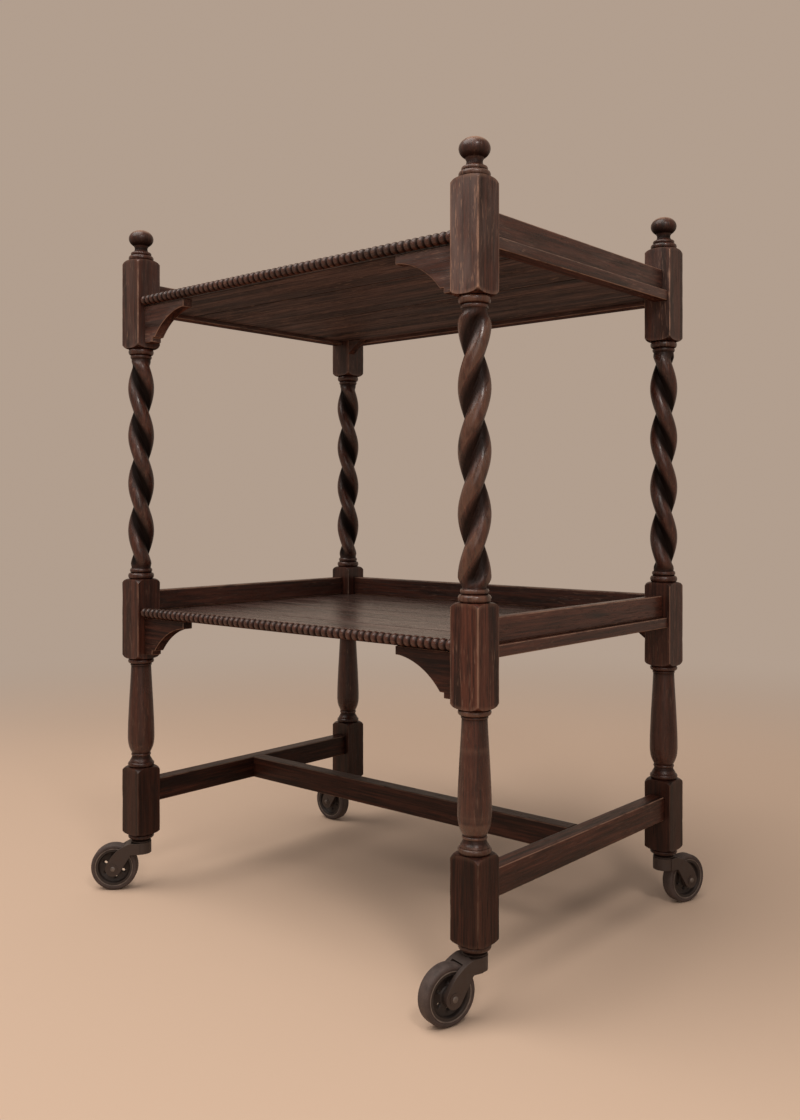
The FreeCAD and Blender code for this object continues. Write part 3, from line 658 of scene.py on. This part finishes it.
def twist_rows(corner):
    """Rows of the barley twist, which grows out of a round shoulder at either end."""
    low, high = TWIST
    count = round((high - low) / TWIST_ROW)
    section = strand_section()
    rows = []
    for row in range(count + 1):
        level = low + (high - low) * row / count
        full = smooth((level - low) / TWIST_RUN_IN[0]) * smooth((high - level) / TWIST_RUN_IN[1])
        rise = smooth(min(level - low, high - level) / SHOULDER_RISE)
        plain = TWIST_NECK + (TWIST_SHOULDER - TWIST_NECK) * rise
        degrees = TWIST_TURN[corner] + TWIST_HAND[corner] * 360 * (level - TWIST_DATUM) / TWIST_LEAD
        turn = math.radians(degrees)
        ring = []
        for reach, angle in section:
            radius = plain + (reach - plain) * full
            # Grooves take dirt and painted shade, crests are rubbed
            wear = min(max((radius - STRAND_WEAR_RADIUS) / STRAND_WEAR_DEPTH, -1.0), CREST_WEAR)
            ring.append((radius * math.cos(angle + turn), radius * math.sin(angle + turn), level, wear))
        rows.append(ring)
    return rows


def matching_start(ring, reference):
    """Place of the ring's point whose way from the axis is nearest to that of another ring's first point."""
    first = Vector(reference[0][:2]).normalized()
    return max(range(len(ring)), key=lambda i: first.dot(Vector(ring[i][:2]).normalized()))


def make_post(corner, seed):
    """One post: turned foot, leg, collars and finial, squared blocks and the barley twist."""
    stretches = [
        ("turned", foot_profile()),
        ("block", FOOT_BLOCK),
        ("turned", leg_profile()),
        ("block", MID_BLOCK),
        ("turned", lower_collar_profile()),
        ("twist", None),
        ("turned", upper_collar_profile()),
        ("block", TOP_BLOCK),
        ("turned", finial_profile()),
    ]
    rows = []
    polish = []
    crisp = set()
    for kind, shape in stretches:
        base = len(rows)
        if kind == "turned":
            made = turned_rows(shape)
            crisp.update(base + i for i in creases(shape))
        elif kind == "block":
            made, lines = block_rows(*shape, seed)
            crisp.update(base + i for i in (0, *lines, len(made) - 1))
        else:
            made = twist_rows(corner)
        start = matching_start(made[0], rows[-1]) if rows else 0
        rows += [ring[start:] + ring[:start] for ring in made]
        rubbed = BLOCK_POLISH[corner] if kind == "block" else TURNED_POLISH
        polish += [rubbed] * (len(made) * RING_POINTS)
    low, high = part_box(f"post_{corner}")
    axis = Vector(((low.x + high.x) / 2, (low.y + high.y) / 2, 0.0))
    points = [axis + Vector((x, y, z)) * MM for ring in rows for x, y, z, worn in ring]
    # All but the front right post are darkened all over
    wear = [worn - POST_DARKENING[corner] for ring in rows for x, y, z, worn in ring]
    faces, caps = skin(rows)
    piece = add_piece(f"turned_post_{corner}", points, faces, caps, crisp, RING_POINTS)
    set_looks(piece, "z", wear, seed, polish)
    dress(piece, f"post_{corner}", "dark_oak")


# Boards

def node_solid(node):
    """The node's own solid, with its flat faces whole."""
    made = bmesh.new()
    made.from_mesh(frame["nodes"][node].data)
    bmesh.ops.remove_doubles(made, verts=made.verts, dist=WELD_REACH * MM)
    bmesh.ops.dissolve_limit(
        made, angle_limit=FLAT_ANGLE, verts=made.verts, edges=made.edges, use_dissolve_boundaries=False,
    )
    return made


def bar_solid(node, axis):
    """A plain bar in place of a stretcher, up to the shoulders of its tenons."""
    low, high = (Vector(corner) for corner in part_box(node))
    low[axis] += TENON * MM
    high[axis] -= TENON * MM
    made = bmesh.new()
    place = Matrix.Translation((low + high) / 2) @ Matrix.Diagonal((*(high - low), 1.0))
    bmesh.ops.create_cube(made, size=1.0, matrix=place)
    return made


def add_end_lines(made, axis):
    """Draw a line round a bar near either end, from which its wear fades out, and give the ends' places."""
    places = [vertex.co[axis] for vertex in made.verts]
    ends = (min(places), max(places))
    for end, way in zip(ends, (1, -1)):
        line_place = Vector((0, 0, 0))
        line_place[axis] = end + way * END_FADE * MM
        line_way = Vector((0, 0, 0))
        line_way[axis] = 1.0
        everything = made.verts[:] + made.edges[:] + made.faces[:]
        bmesh.ops.bisect_plane(made, geom=everything, plane_co=line_place, plane_no=line_way)
    return ends


def eased_piece(made, name, ease, border, axis=None):
    """A solid with eased edges and a narrow border beside them, both in millimetres, and its points' wear.

    Ends across the axis butt against other pieces and stay square.
    """
    ends = () if axis is None else add_end_lines(made, axis)

    def at_end(vertex):
        return any(abs(vertex.co[axis] - end) < END_REACH * MM for end in ends)

    hard = []
    for edge in made.edges:
        if edge.is_manifold and edge.calc_face_angle(0.0) > EASE_ANGLE and not all(map(at_end, edge.verts)):
            hard.append(edge)
    bevelled = bmesh.ops.bevel(
        made, geom=hard, offset=ease * MM, offset_type="OFFSET", segments=EASE_STEPS, profile=ROUND_PROFILE,
        affect="EDGES", clamp_overlap=True,
    )
    rounded = set(bevelled["faces"])
    edge_points = {vertex for face in rounded for vertex in face.verts}
    inner = set()
    broad = []
    if border:
        broad = [face for face in made.faces if face not in rounded and not all(map(at_end, face.verts))]
    if broad:
        bmesh.ops.inset_region(
            made, faces=broad, thickness=border * MM, use_even_offset=True, use_boundary=True,
        )
        inner = {vertex for face in broad for vertex in face.verts}
    for face in made.faces:
        face.smooth = True
    made.verts.index_update()
    worn = {vertex.index for vertex in edge_points - inner if border and not at_end(vertex)}
    mesh = bpy.data.meshes.new(name)
    made.to_mesh(mesh)
    made.free()
    return link_piece(name, mesh), [float(i in worn) for i in range(len(mesh.vertices))]


def make_plank(tray, plank, seed):
    """A plank of a tray, with dirt and painted shade along its seams."""
    node = f"{tray}_tray_plank_{plank}"
    piece, edges = eased_piece(node_solid(node), f"{tray}_plank_{plank}", SEAM_EASE, SEAM_BORDER, 0)
    set_looks(piece, "x", [-SEAM_DIRT_AND_SHADE * edge for edge in edges], seed)
    dress(piece, node, "tray_oak")


def make_rail(node, name, along, ease, seed):
    """A strip or gallery board whose ends butt against the posts."""
    piece, wear = eased_piece(node_solid(node), name, ease, RAIL_BORDER, "xyz".index(along))
    set_looks(piece, along, wear, seed, [RAIL_POLISH] * len(wear))
    dress(piece, node, "dark_oak")


def make_shaped_block(node, name, tray, ease, border, seed):
    """A bracket or a glue block under a tray, with its grain along the trolley."""
    piece, edges = eased_piece(node_solid(node), name, ease, border)
    # Worn edges; the rest takes painted shade under the tray
    set_looks(piece, "x", [edge or -BRACKET_SHADE[tray] for edge in edges], seed)
    dress(piece, node, "dark_oak")


def make_stretcher(node, name, along, floor_shade, seed):
    """A stretcher between the shoulders of its tenons."""
    axis = "xyz".index(along)
    piece, wear = eased_piece(bar_solid(node, axis), name, STRETCHER_EASE, STRETCHER_BORDER, axis)
    # Painted shade near the floor, scaled by the stretcher's share
    set_looks(piece, along, wear, seed, floor_shade=floor_shade)
    dress(piece, node, "dark_oak")


def make_beaded_moulding(tray, seed):
    """The front moulding of a tray, cut into a row of plump beads."""
    low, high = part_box(f"{tray}_rope_moulding")
    radius = (high.z - low.z) / 2
    axis_y = low.y + radius
    axis_z = (low.z + high.z) / 2
    flat = high.y - axis_y
    pitch = (high.x - low.x) / MOULDING_BEADS
    back = math.acos(flat / radius)
    root = MOULDING_ROOT * MM
    angles = [back + (2 * math.pi - 2 * back) * i / (MOULDING_SIDES - 1) for i in range(MOULDING_SIDES)]
    rows = []
    wear = []
    for step in range(MOULDING_BEADS * MOULDING_STEPS + 1):
        number, part = divmod(step, MOULDING_STEPS)
        swell = math.sin(math.pi * part / MOULDING_STEPS) ** MOULDING_FULLNESS
        uneven = noise.noise(Vector((number * MOULDING_SWELL_RATE, seed, 0.0)))
        reach = root + (radius - root) * swell * (MOULDING_SWELL + MOULDING_SWELL_SPREAD * uneven)
        x = low.x + pitch * step / MOULDING_STEPS
        rows.append([
            (x, axis_y + min(reach * math.cos(angle), flat), axis_z + reach * math.sin(angle))
            for angle in angles
        ])
        # Rubbed crests, and dirt and painted shade in the gaps between beads
        rubbed = min(max(MOULDING_WEAR_GAIN * swell - MOULDING_WEAR_DROP, -1.0), MOULDING_WEAR)
        wear += [rubbed] * MOULDING_SIDES
    faces, caps = skin(rows)
    points = [point for ring in rows for point in ring]
    piece = add_piece(f"{tray}_beaded_moulding", points, faces, caps)
    set_looks(piece, "x", wear, seed, [TURNED_POLISH] * len(points))
    dress(piece, f"{tray}_rope_moulding", "dark_oak")


# Castors

def lathe_piece(name, profile, place, closed=False):
    """A turned metal or rubber piece; its profile is (radius, along) in millimetres."""
    rows = []
    for radius, along in profile:
        ring = []
        for i in range(CASTOR_SIDES):
            angle = 2 * math.pi * i / CASTOR_SIDES
            point = Vector((radius * math.cos(angle), radius * math.sin(angle), along))
            ring.append(place @ (point * MM))
        rows.append(ring)
    faces, caps = skin(rows, closed)
    points = [point for ring in rows for point in ring]
    return add_piece(name, points, faces, caps, creases(profile, closed), CASTOR_SIDES)


def cut(piece, cutter):
    """Cut one mesh out of another, and drop the cutter."""
    modifier = piece.modifiers.new("cut", "BOOLEAN")
    modifier.operation = "DIFFERENCE"
    modifier.solver = "EXACT"
    modifier.object = cutter
    shown = piece.evaluated_get(bpy.context.evaluated_depsgraph_get())
    result = bpy.data.meshes.new_from_object(shown)
    piece.modifiers.clear()
    piece.data = result
    bpy.data.objects.remove(cutter)


def quarter_turn():
    """Angles of a quarter round."""
    return [math.pi / 2 * i / ROUND_STEPS for i in range(ROUND_STEPS + 1)]


def wheel_profile():
    """Closed profile of the iron centre: bore, hub, thin web and rim."""
    fillet_level = WEB_HALF_WIDTH + WEB_FILLET_RISE
    hub_foot = HUB_RADIUS + HUB_DRAFT
    rim_foot = RIM_INNER_RADIUS - RIM_DRAFT
    half = [
        (AXLE_RADIUS + RUNNING_CLEARANCE, WHEEL_HALF_WIDTH),
        (HUB_RADIUS - HUB_EASE, WHEEL_HALF_WIDTH),
        (HUB_RADIUS, WHEEL_HALF_WIDTH - HUB_EASE),
        (hub_foot, fillet_level),
        (hub_foot + HUB_FILLET, WEB_HALF_WIDTH),
        (rim_foot - RIM_FILLET, WEB_HALF_WIDTH),
        (rim_foot, fillet_level),
        (RIM_INNER_RADIUS, WHEEL_HALF_WIDTH - RIM_EASE[1]),
        (RIM_INNER_RADIUS + RIM_EASE[0], WHEEL_HALF_WIDTH),
        (RIM_RADIUS, WHEEL_HALF_WIDTH),
    ]
    return half + [(radius, -along) for radius, along in half[::-1]]


def tyre_profile():
    """Closed profile of the tyre as (radius, along, rub): a pale lip at the rim, rounded shoulders."""
    inside = RIM_RADIUS + RUNNING_CLEARANCE
    half = [(inside + out, TYRE_HALF_WIDTH + along, rub) for out, along, rub in TYRE_LIP]
    for angle in quarter_turn():
        radius = TYRE_RADIUS - TYRE_SHOULDER * (1 - math.sin(angle))
        along = TYRE_HALF_WIDTH - TYRE_SHOULDER * (1 - math.cos(angle))
        half.append((radius, along, TREAD_RUB * math.sin(angle)))
    return half + [(radius, -along, rub) for radius, along, rub in half[::-1]]


def axle_profile(half_length):
    """Axle with a washer and a domed rivet head outside each arm."""
    washer = half_length - WASHER_RISE
    face = half_length - RIVET_RISE
    half = [(AXLE_RADIUS, washer), (WASHER_RADIUS, washer), (WASHER_RADIUS, face)]
    for angle in quarter_turn():
        half.append((max(RIVET_RADIUS * math.cos(angle), TIP_RADIUS), face + RIVET_RISE * math.sin(angle)))
    return [(radius, -along) for radius, along in half[::-1]] + half


def stem_profile(low, high):
    """Stem: riveted pin head, pin, flange under the foot and the peg up the post."""
    return [
        *((radius, low + rise) for radius, rise in PIN_HEAD),
        *((radius, FOOT_LEVEL - drop) for radius, drop in FLANGE),
        (PEG_RADIUS, high - PEG_CHAMFER),
        (PEG_RADIUS - PEG_CHAMFER, high),
        (TIP_RADIUS, high),
    ]


def half_axle(span, across):
    """Half the length of an axle, in metres, from the box that it fills at its angle."""
    width = 2 * AXLE_RADIUS * MM
    share = max(abs(across.x), abs(across.y))
    other = min(abs(across.x), abs(across.y))
    longest = max(span.x, span.y)
    return (longest - width * other) / share / 2


def drill_web(wheel, place, start):
    """Drill the ring of holes through the web of a wheel, from a starting angle."""
    profile = [(WEB_HOLE_RADIUS, -WHEEL_HALF_WIDTH), (WEB_HOLE_RADIUS, WHEEL_HALF_WIDTH)]
    for hole in range(WEB_HOLES):
        angle = 2 * math.pi * (hole + WEB_HOLE_START) / WEB_HOLES + start
        middle = Vector((math.cos(angle), math.sin(angle), 0)) * WEB_HOLE_CIRCLE * MM
        cut(wheel, lathe_piece("drill", profile, place @ Matrix.Translation(middle)))


def make_castor(corner, seed):
    """Stem, horn, axle, wheel centre and tyre of one castor."""
    stem_low, stem_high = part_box(f"castor_stem_{corner}")
    post = Vector(((stem_low.x + stem_high.x) / 2, (stem_low.y + stem_high.y) / 2, 0.0))
    axle_low, axle_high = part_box(f"castor_axle_{corner}")
    hub = (axle_low + axle_high) / 2
    trail = Vector((hub.x - post.x, hub.y - post.y, 0.0)).normalized()
    across = UP.cross(trail)
    rolling = Matrix((trail, UP, across)).transposed().to_4x4()
    rolling.translation = hub
    half_length = half_axle(axle_high - axle_low, across) / MM

    stem_shape = stem_profile(stem_low.z / MM, stem_high.z / MM)
    stem = lathe_piece(f"stem_{corner}", stem_shape, Matrix.Translation(post))
    axle_shape = axle_profile(half_length)
    axle = lathe_piece(f"axle_{corner}", axle_shape, rolling)
    rivet = half_length - RIVET_RISE
    axle_rub_and_highlight = []
    # Rivet heads rubbed bright, with a painted highlight
    for radius, along in axle_shape:
        axle_rub_and_highlight += [RIVET_RUB_AND_HIGHLIGHT if abs(along) > rivet else 0.0] * CASTOR_SIDES
    wheel = lathe_piece(f"wheel_centre_{corner}", wheel_profile(), rolling, True)
    tyre_shape = tyre_profile()
    tyre_outline = [(radius, along) for radius, along, rub in tyre_shape]
    tyre = lathe_piece(f"tyre_{corner}", tyre_outline, rolling, True)
    tyre_rub = [rub for radius, along, rub in tyre_shape for side in range(CASTOR_SIDES)]
    drill_web(wheel, rolling, seed)
    fork_solid = node_solid(f"castor_fork_{corner}")
    fork, fork_wear = eased_piece(fork_solid, f"horn_{corner}", FORK_EASE, FORK_BORDER)
    for piece, node, wear, slot in (
        (stem, "stem", None, "castor_iron"),
        (fork, "fork", fork_wear, "castor_iron"),
        (axle, "axle", axle_rub_and_highlight, "castor_iron"),
        (wheel, "wheel", None, "wheel_iron"),
        (tyre, "tyre", tyre_rub, "tyre_rubber"),
    ):
        set_looks(piece, "z", wear or [0.0] * len(piece.data.vertices), seed)
        dress(piece, f"castor_{node}_{corner}", slot)


# Finishes

def add(tree, kind, inputs=None, **settings):
    """A shader node with its settings, fixed values and links."""
    made = tree.nodes.new(kind)
    for name, setting in settings.items():
        setattr(made, name, setting)
    for name, given in (inputs or {}).items():
        if isinstance(given, bpy.types.NodeSocket):
            tree.links.new(given, made.inputs[name])
        else:
            made.inputs[name].default_value = given
    return made


def calculate(tree, operation, first, second, clamp=False):
    """A sum, product or the like of two values."""
    made = add(tree, "ShaderNodeMath", {0: first, 1: second}, operation=operation, use_clamp=clamp)
    return made.outputs[0]


def times(tree, first, second, clamp=False):
    """The product of two values."""
    return calculate(tree, "MULTIPLY", first, second, clamp)


def plus(tree, first, second, clamp=False):
    """The sum of two values."""
    return calculate(tree, "ADD", first, second, clamp)


def blend(tree, share, first, second):
    """A mix of two colours."""
    return add(tree, "ShaderNodeMix", {0: share, 6: first, 7: second}, data_type="RGBA").outputs[2]


def spread(tree, factor, span, to=WHOLE):
    """A value stretched from one range to another, kept within it."""
    inputs = {"Value": factor, "From Min": span[0], "From Max": span[1], "To Min": to[0], "To Max": to[1]}
    return add(tree, "ShaderNodeMapRange", inputs).outputs["Result"]


def texture(tree, vector, scale=1.0, detail=4.0, roughness=0.55, distortion=0.0):
    """Seamless cloudy texture, as a value about one half."""
    inputs = {
        "Vector": vector, "Scale": scale, "Detail": detail, "Roughness": roughness, "Distortion": distortion,
    }
    return add(tree, "ShaderNodeTexNoise", inputs, noise_dimensions="3D").outputs["Fac"]


def grain_texture(tree, grain, along, across, **look):
    """Cloudy texture drawn out along the grain."""
    factors = {0: grain, 1: (along, across, across)}
    stretched = add(tree, "ShaderNodeVectorMath", factors, operation="MULTIPLY").outputs[0]
    return texture(tree, stretched, **look)


def stored(tree, name, output="Fac"):
    """A value that the mesh holds at each point."""
    return add(tree, "ShaderNodeAttribute", attribute_name=name).outputs[output]


def new_finish(name):
    """An empty finish with its shader."""
    material = bpy.data.materials.new(name)
    material.use_nodes = True
    tree = material.node_tree
    tree.nodes.clear()
    shader = add(tree, "ShaderNodeBsdfPrincipled")
    output = add(tree, "ShaderNodeOutputMaterial")
    tree.links.new(shader.outputs[0], output.inputs["Surface"])
    return material, tree, shader


def bump(tree, shader, height, strength, distance):
    """Relief from a height."""
    made = add(tree, "ShaderNodeBump", {"Height": height, "Strength": strength, "Distance": distance})
    tree.links.new(made.outputs["Normal"], shader.inputs["Normal"])


def make_oak(name, dark, middle, worn, bloom, roughness, sheen):
    """Stained and waxed oak: fibres, growth bands, dirt and painted shade, dusty bloom, scuffs and worn
    edges.
    """
    material, tree, shader = new_finish(name)
    grain = stored(tree, "grain", "Vector")
    wear = stored(tree, "wear")
    dust = stored(tree, "dust")
    polish = stored(tree, "polish")
    cloud = {kind: grain_texture(tree, grain, **look) for kind, look in OAK_TEXTURES.items()}
    facing = add(tree, "ShaderNodeNewGeometry").outputs["True Normal"]
    upward = add(tree, "ShaderNodeSeparateXYZ", {0: facing}).outputs["Z"]
    upper = spread(tree, upward, UNDERSIDE_RANGE)

    # Colour, from the stain up to the painted shade near the floor
    fibres = times(tree, cloud["fibres"], FIGURE_SHARE)
    figure = plus(tree, fibres, times(tree, cloud["bands"], 1 - FIGURE_SHARE))
    colour = blend(tree, spread(tree, figure, FIGURE_RANGE), dark, middle)
    even = tuple(low + EVEN_SHADE * (high - low) for low, high in zip(dark, middle))
    colour = blend(tree, times(tree, polish, POLISH_EVENNESS), colour, even)
    pores = spread(tree, cloud["pores"], PORE_RANGE)
    colour = blend(tree, times(tree, pores, PORE_DIRT), colour, DIRT_AND_SHADE)
    dusty = times(tree, spread(tree, cloud["patches"], DUST_RANGE, DUST_AMOUNT), dust, True)
    colour = blend(tree, times(tree, dusty, upper), colour, bloom)
    colour = blend(tree, spread(tree, cloud["smudges"], SMUDGE_RANGE, SMUDGE_DIRT), colour, DIRT_AND_SHADE)
    scuffed_patch = spread(tree, cloud["patches"], SCUFFED_PATCH_RANGE)
    scuffed = times(tree, spread(tree, cloud["scuffs"], SCUFF_RANGE), scuffed_patch)
    scuffed = times(tree, scuffed, spread(tree, dust, SCUFFED_DUST_RANGE))
    colour = blend(tree, times(tree, scuffed, SCUFF_AMOUNT), colour, worn)
    rubbed = times(tree, wear, spread(tree, cloud["chips"], CHIP_RANGE, CHIP_AMOUNT), True)
    colour = blend(tree, rubbed, colour, worn)
    # Dirt and painted shade where the wear is below nought: hollows, grooves, gaps, seams, the ball's
    # underside, under trays
    dirt_and_shade = times(tree, wear, -HOLLOW_DIRT_AND_SHADE, True)
    colour = blend(tree, dirt_and_shade, colour, DIRT_AND_SHADE)
    # Painted shade near the floor, where the dust is below nought
    floor_shade = times(tree, dust, -1.0, True)
    colour = blend(tree, floor_shade, colour, DIRT_AND_SHADE)
    tree.links.new(colour, shader.inputs["Base Color"])

    # Roughness, wax and relief
    rough = plus(tree, spread(tree, cloud["patches"], PATCH_RANGE, PATCH_ROUGHNESS), roughness)
    rough = plus(tree, rough, times(tree, pores, PORE_ROUGHNESS))
    rough = calculate(tree, "SUBTRACT", rough, times(tree, polish, POLISH_SMOOTHNESS))
    rough = plus(tree, rough, times(tree, dirt_and_shade, HOLLOW_ROUGHNESS))
    rough = plus(tree, rough, spread(tree, upper, WHOLE, (UNDERSIDE_ROUGHNESS, 0.0)), True)
    tree.links.new(rough, shader.inputs["Roughness"])
    wax = spread(tree, polish, WHOLE, (sheen, sheen + POLISH_WAX))
    wax = times(tree, wax, spread(tree, upper, WHOLE, (UNDERSIDE_WAX, 1.0)))
    wax = times(tree, wax, spread(tree, dirt_and_shade, WHOLE, (1.0, HOLLOW_WAX)))
    wax = times(tree, wax, spread(tree, floor_shade, FLOOR_SHADE_WAX_RANGE, (1.0, FLOOR_SHADE_WAX)))
    tree.links.new(wax, shader.inputs["Specular IOR Level"])
    bump(tree, shader, calculate(tree, "SUBTRACT", fibres, pores), *OAK_RELIEF)
    return material


def make_iron(name, base, rust, roughness):
    """Old blackened iron, brown in patches and bright where it is rubbed."""
    material, tree, shader = new_finish(name)
    grain = stored(tree, "grain", "Vector")
    wear = stored(tree, "wear")
    patches = texture(tree, grain, **RUST_TEXTURE)
    pits = texture(tree, grain, **PIT_TEXTURE)
    colour = blend(tree, spread(tree, patches, RUST_RANGE), base, rust)
    rubbed = times(tree, wear, spread(tree, patches, IRON_RUB_RANGE, IRON_RUB), True)
    colour = blend(tree, rubbed, colour, BRIGHT_IRON)
    tree.links.new(colour, shader.inputs["Base Color"])
    rough = spread(tree, patches, PATCH_RANGE, tuple(roughness + step for step in IRON_ROUGHNESS))
    tree.links.new(rough, shader.inputs["Roughness"])
    shader.inputs["Metallic"].default_value = IRON_METAL
    bump(tree, shader, pits, *IRON_RELIEF)
    return material


def make_rubber(name):
    """Hard old tyre rubber, grey with floor dust."""
    material, tree, shader = new_finish(name)
    grain = stored(tree, "grain", "Vector")
    wear = stored(tree, "wear")
    dust = texture(tree, grain, **RUBBER_DUST_TEXTURE)
    specks = texture(tree, grain, **SPECK_TEXTURE)
    colour = blend(tree, spread(tree, dust, RUBBER_DUST_RANGE), CLEAN_RUBBER, DUSTY_RUBBER)
    colour = blend(tree, spread(tree, specks, SPECK_RANGE, SPECK_AMOUNT), colour, RUBBER_SPECKS)
    rubbed = times(tree, wear, spread(tree, dust, RUBBER_RUB_RANGE, RUBBER_RUB), True)
    colour = blend(tree, rubbed, colour, RUBBED_RUBBER)
    tree.links.new(colour, shader.inputs["Base Color"])
    tree.links.new(spread(tree, dust, PATCH_RANGE, RUBBER_ROUGHNESS), shader.inputs["Roughness"])
    bump(tree, shader, specks, *RUBBER_RELIEF)
    return material


# Studio

def make_floor():
    """Plain pale floor that fades into the backdrop far from the trolley."""
    angles = [2 * math.pi * i / FLOOR_SIDES for i in range(FLOOR_SIDES)]
    rim = [(FLOOR_RADIUS * math.cos(a), FLOOR_RADIUS * math.sin(a), 0.0) for a in angles]
    floor = add_piece("floor", rim, [tuple(range(FLOOR_SIDES))], (0,))
    material, tree, shader = new_finish("floor")
    shader.inputs["Base Color"].default_value = FLOOR_COLOUR
    shader.inputs["Roughness"].default_value = FLOOR_ROUGHNESS
    place = add(tree, "ShaderNodeNewGeometry").outputs["Position"]
    reach = add(tree, "ShaderNodeVectorMath", {0: place}, operation="LENGTH").outputs["Value"]
    glow = add(tree, "ShaderNodeEmission", {"Color": BACKDROP, "Strength": 1.0})
    near, far = FLOOR_FADE
    limits = {"Value": reach, "From Min": near, "From Max": far}
    share = add(tree, "ShaderNodeMapRange", limits, interpolation_type="SMOOTHSTEP").outputs["Result"]
    fade = add(tree, "ShaderNodeMixShader", {0: share, 1: shader.outputs[0], 2: glow.outputs[0]})
    output = next(node for node in tree.nodes if node.type == "OUTPUT_MATERIAL")
    tree.links.new(fade.outputs[0], output.inputs["Surface"])
    floor.data.materials.append(material)


def make_world():
    """Even light from all round, with the backdrop's colour behind the trolley."""
    world = bpy.data.worlds.new("studio")
    world.use_nodes = True
    tree = world.node_tree
    tree.nodes.clear()
    seen = add(tree, "ShaderNodeLightPath")
    shown = plus(tree, seen.outputs["Is Camera Ray"], seen.outputs["Is Glossy Ray"], True)
    light = add(tree, "ShaderNodeBackground", {"Color": AROUND_COLOUR, "Strength": AROUND_STRENGTH})
    backdrop = add(tree, "ShaderNodeBackground", {"Color": BACKDROP, "Strength": 1.0})
    both = add(tree, "ShaderNodeMixShader", {0: shown, 1: light.outputs[0], 2: backdrop.outputs[0]})
    output = add(tree, "ShaderNodeOutputWorld")
    tree.links.new(both.outputs[0], output.inputs["Surface"])
    bpy.context.scene.world = world


def make_lamp(name, place, size, power, colour):
    """A soft lamp that faces the trolley."""
    data = bpy.data.lights.new(name, "AREA")
    data.shape = "DISK"
    data.size = size
    data.energy = power
    data.color = colour
    lamp = bpy.data.objects.new(name, data)
    lamp.location = place
    lamp.rotation_euler = (LAMP_AIM - Vector(place)).to_track_quat("-Z", "Y").to_euler()
    bpy.context.scene.collection.objects.link(lamp)


def make_camera():
    """Level camera at the photograph's viewing angle."""
    data = bpy.data.cameras.new("camera")
    data.sensor_fit = "VERTICAL"
    data.sensor_height = CAMERA_FILM
    data.lens = CAMERA_LENS
    data.shift_y = CAMERA_SHIFT
    camera = bpy.data.objects.new("camera", data)
    camera.location = CAMERA_PLACE
    camera.rotation_euler = (math.pi / 2, 0.0, math.atan2(-CAMERA_WAY[0], CAMERA_WAY[1]))
    bpy.context.scene.collection.objects.link(camera)
    bpy.context.scene.camera = camera


# The trolley in its studio

finishes = {
    "dark_oak": make_oak("dark_oak", **DARK_OAK),
    "tray_oak": make_oak("tray_oak", **TRAY_OAK),
    "castor_iron": make_iron("castor_iron", **CASTOR_IRON),
    "wheel_iron": make_iron("wheel_iron", **WHEEL_IRON),
    "tyre_rubber": make_rubber("tyre_rubber"),
}

for number, corner in enumerate(CORNERS, start=1):
    make_post(corner, number)
    make_castor(corner, number)
for number, tray in enumerate(TRAYS, start=1):
    for place, plank in enumerate(PLANKS, start=1):
        make_plank(tray, plank, TRAY_SEED * number + place)
    for place, (side, along) in enumerate(RAIL_SIDES.items(), start=1 + len(PLANKS)):
        strip_seed = TRAY_SEED * number + place
        gallery_seed = strip_seed + GALLERY_SEED
        make_rail(f"{tray}_strip_{side}", f"{tray}_edge_strip_{side}", along, STRIP_EASE, strip_seed)
        make_rail(f"{tray}_gallery_{side}", f"{tray}_gallery_board_{side}", along, GALLERY_EASE, gallery_seed)
    make_beaded_moulding(tray, MOULDING_SEED + number)
    for place, corner in enumerate(BRACKET_CORNERS):
        name = f"{tray}_shaped_bracket_{corner}"
        seed = BRACKET_SEED + len(BRACKET_CORNERS) * number + place
        make_shaped_block(f"{tray}_bracket_{corner}", name, tray, BRACKET_EASE, BRACKET_BORDER, seed)
for place, (tray, corner) in enumerate(GLUE_BLOCKS.items()):
    seed = GLUE_BLOCK_SEED + place
    make_shaped_block(f"{tray}_glue_block_{corner}", f"{tray}_corner_block", tray, GLUE_BLOCK_EASE, 0.0, seed)
for place, (node, (name, along, floor_shade)) in enumerate(STRETCHERS.items()):
    make_stretcher(node, name, along, floor_shade, STRETCHER_SEED + place)

make_floor()
make_world()
for name, lamp in LAMPS.items():
    make_lamp(name, **lamp)
make_camera()
bpy.context.scene.view_settings.view_transform = "Standard"
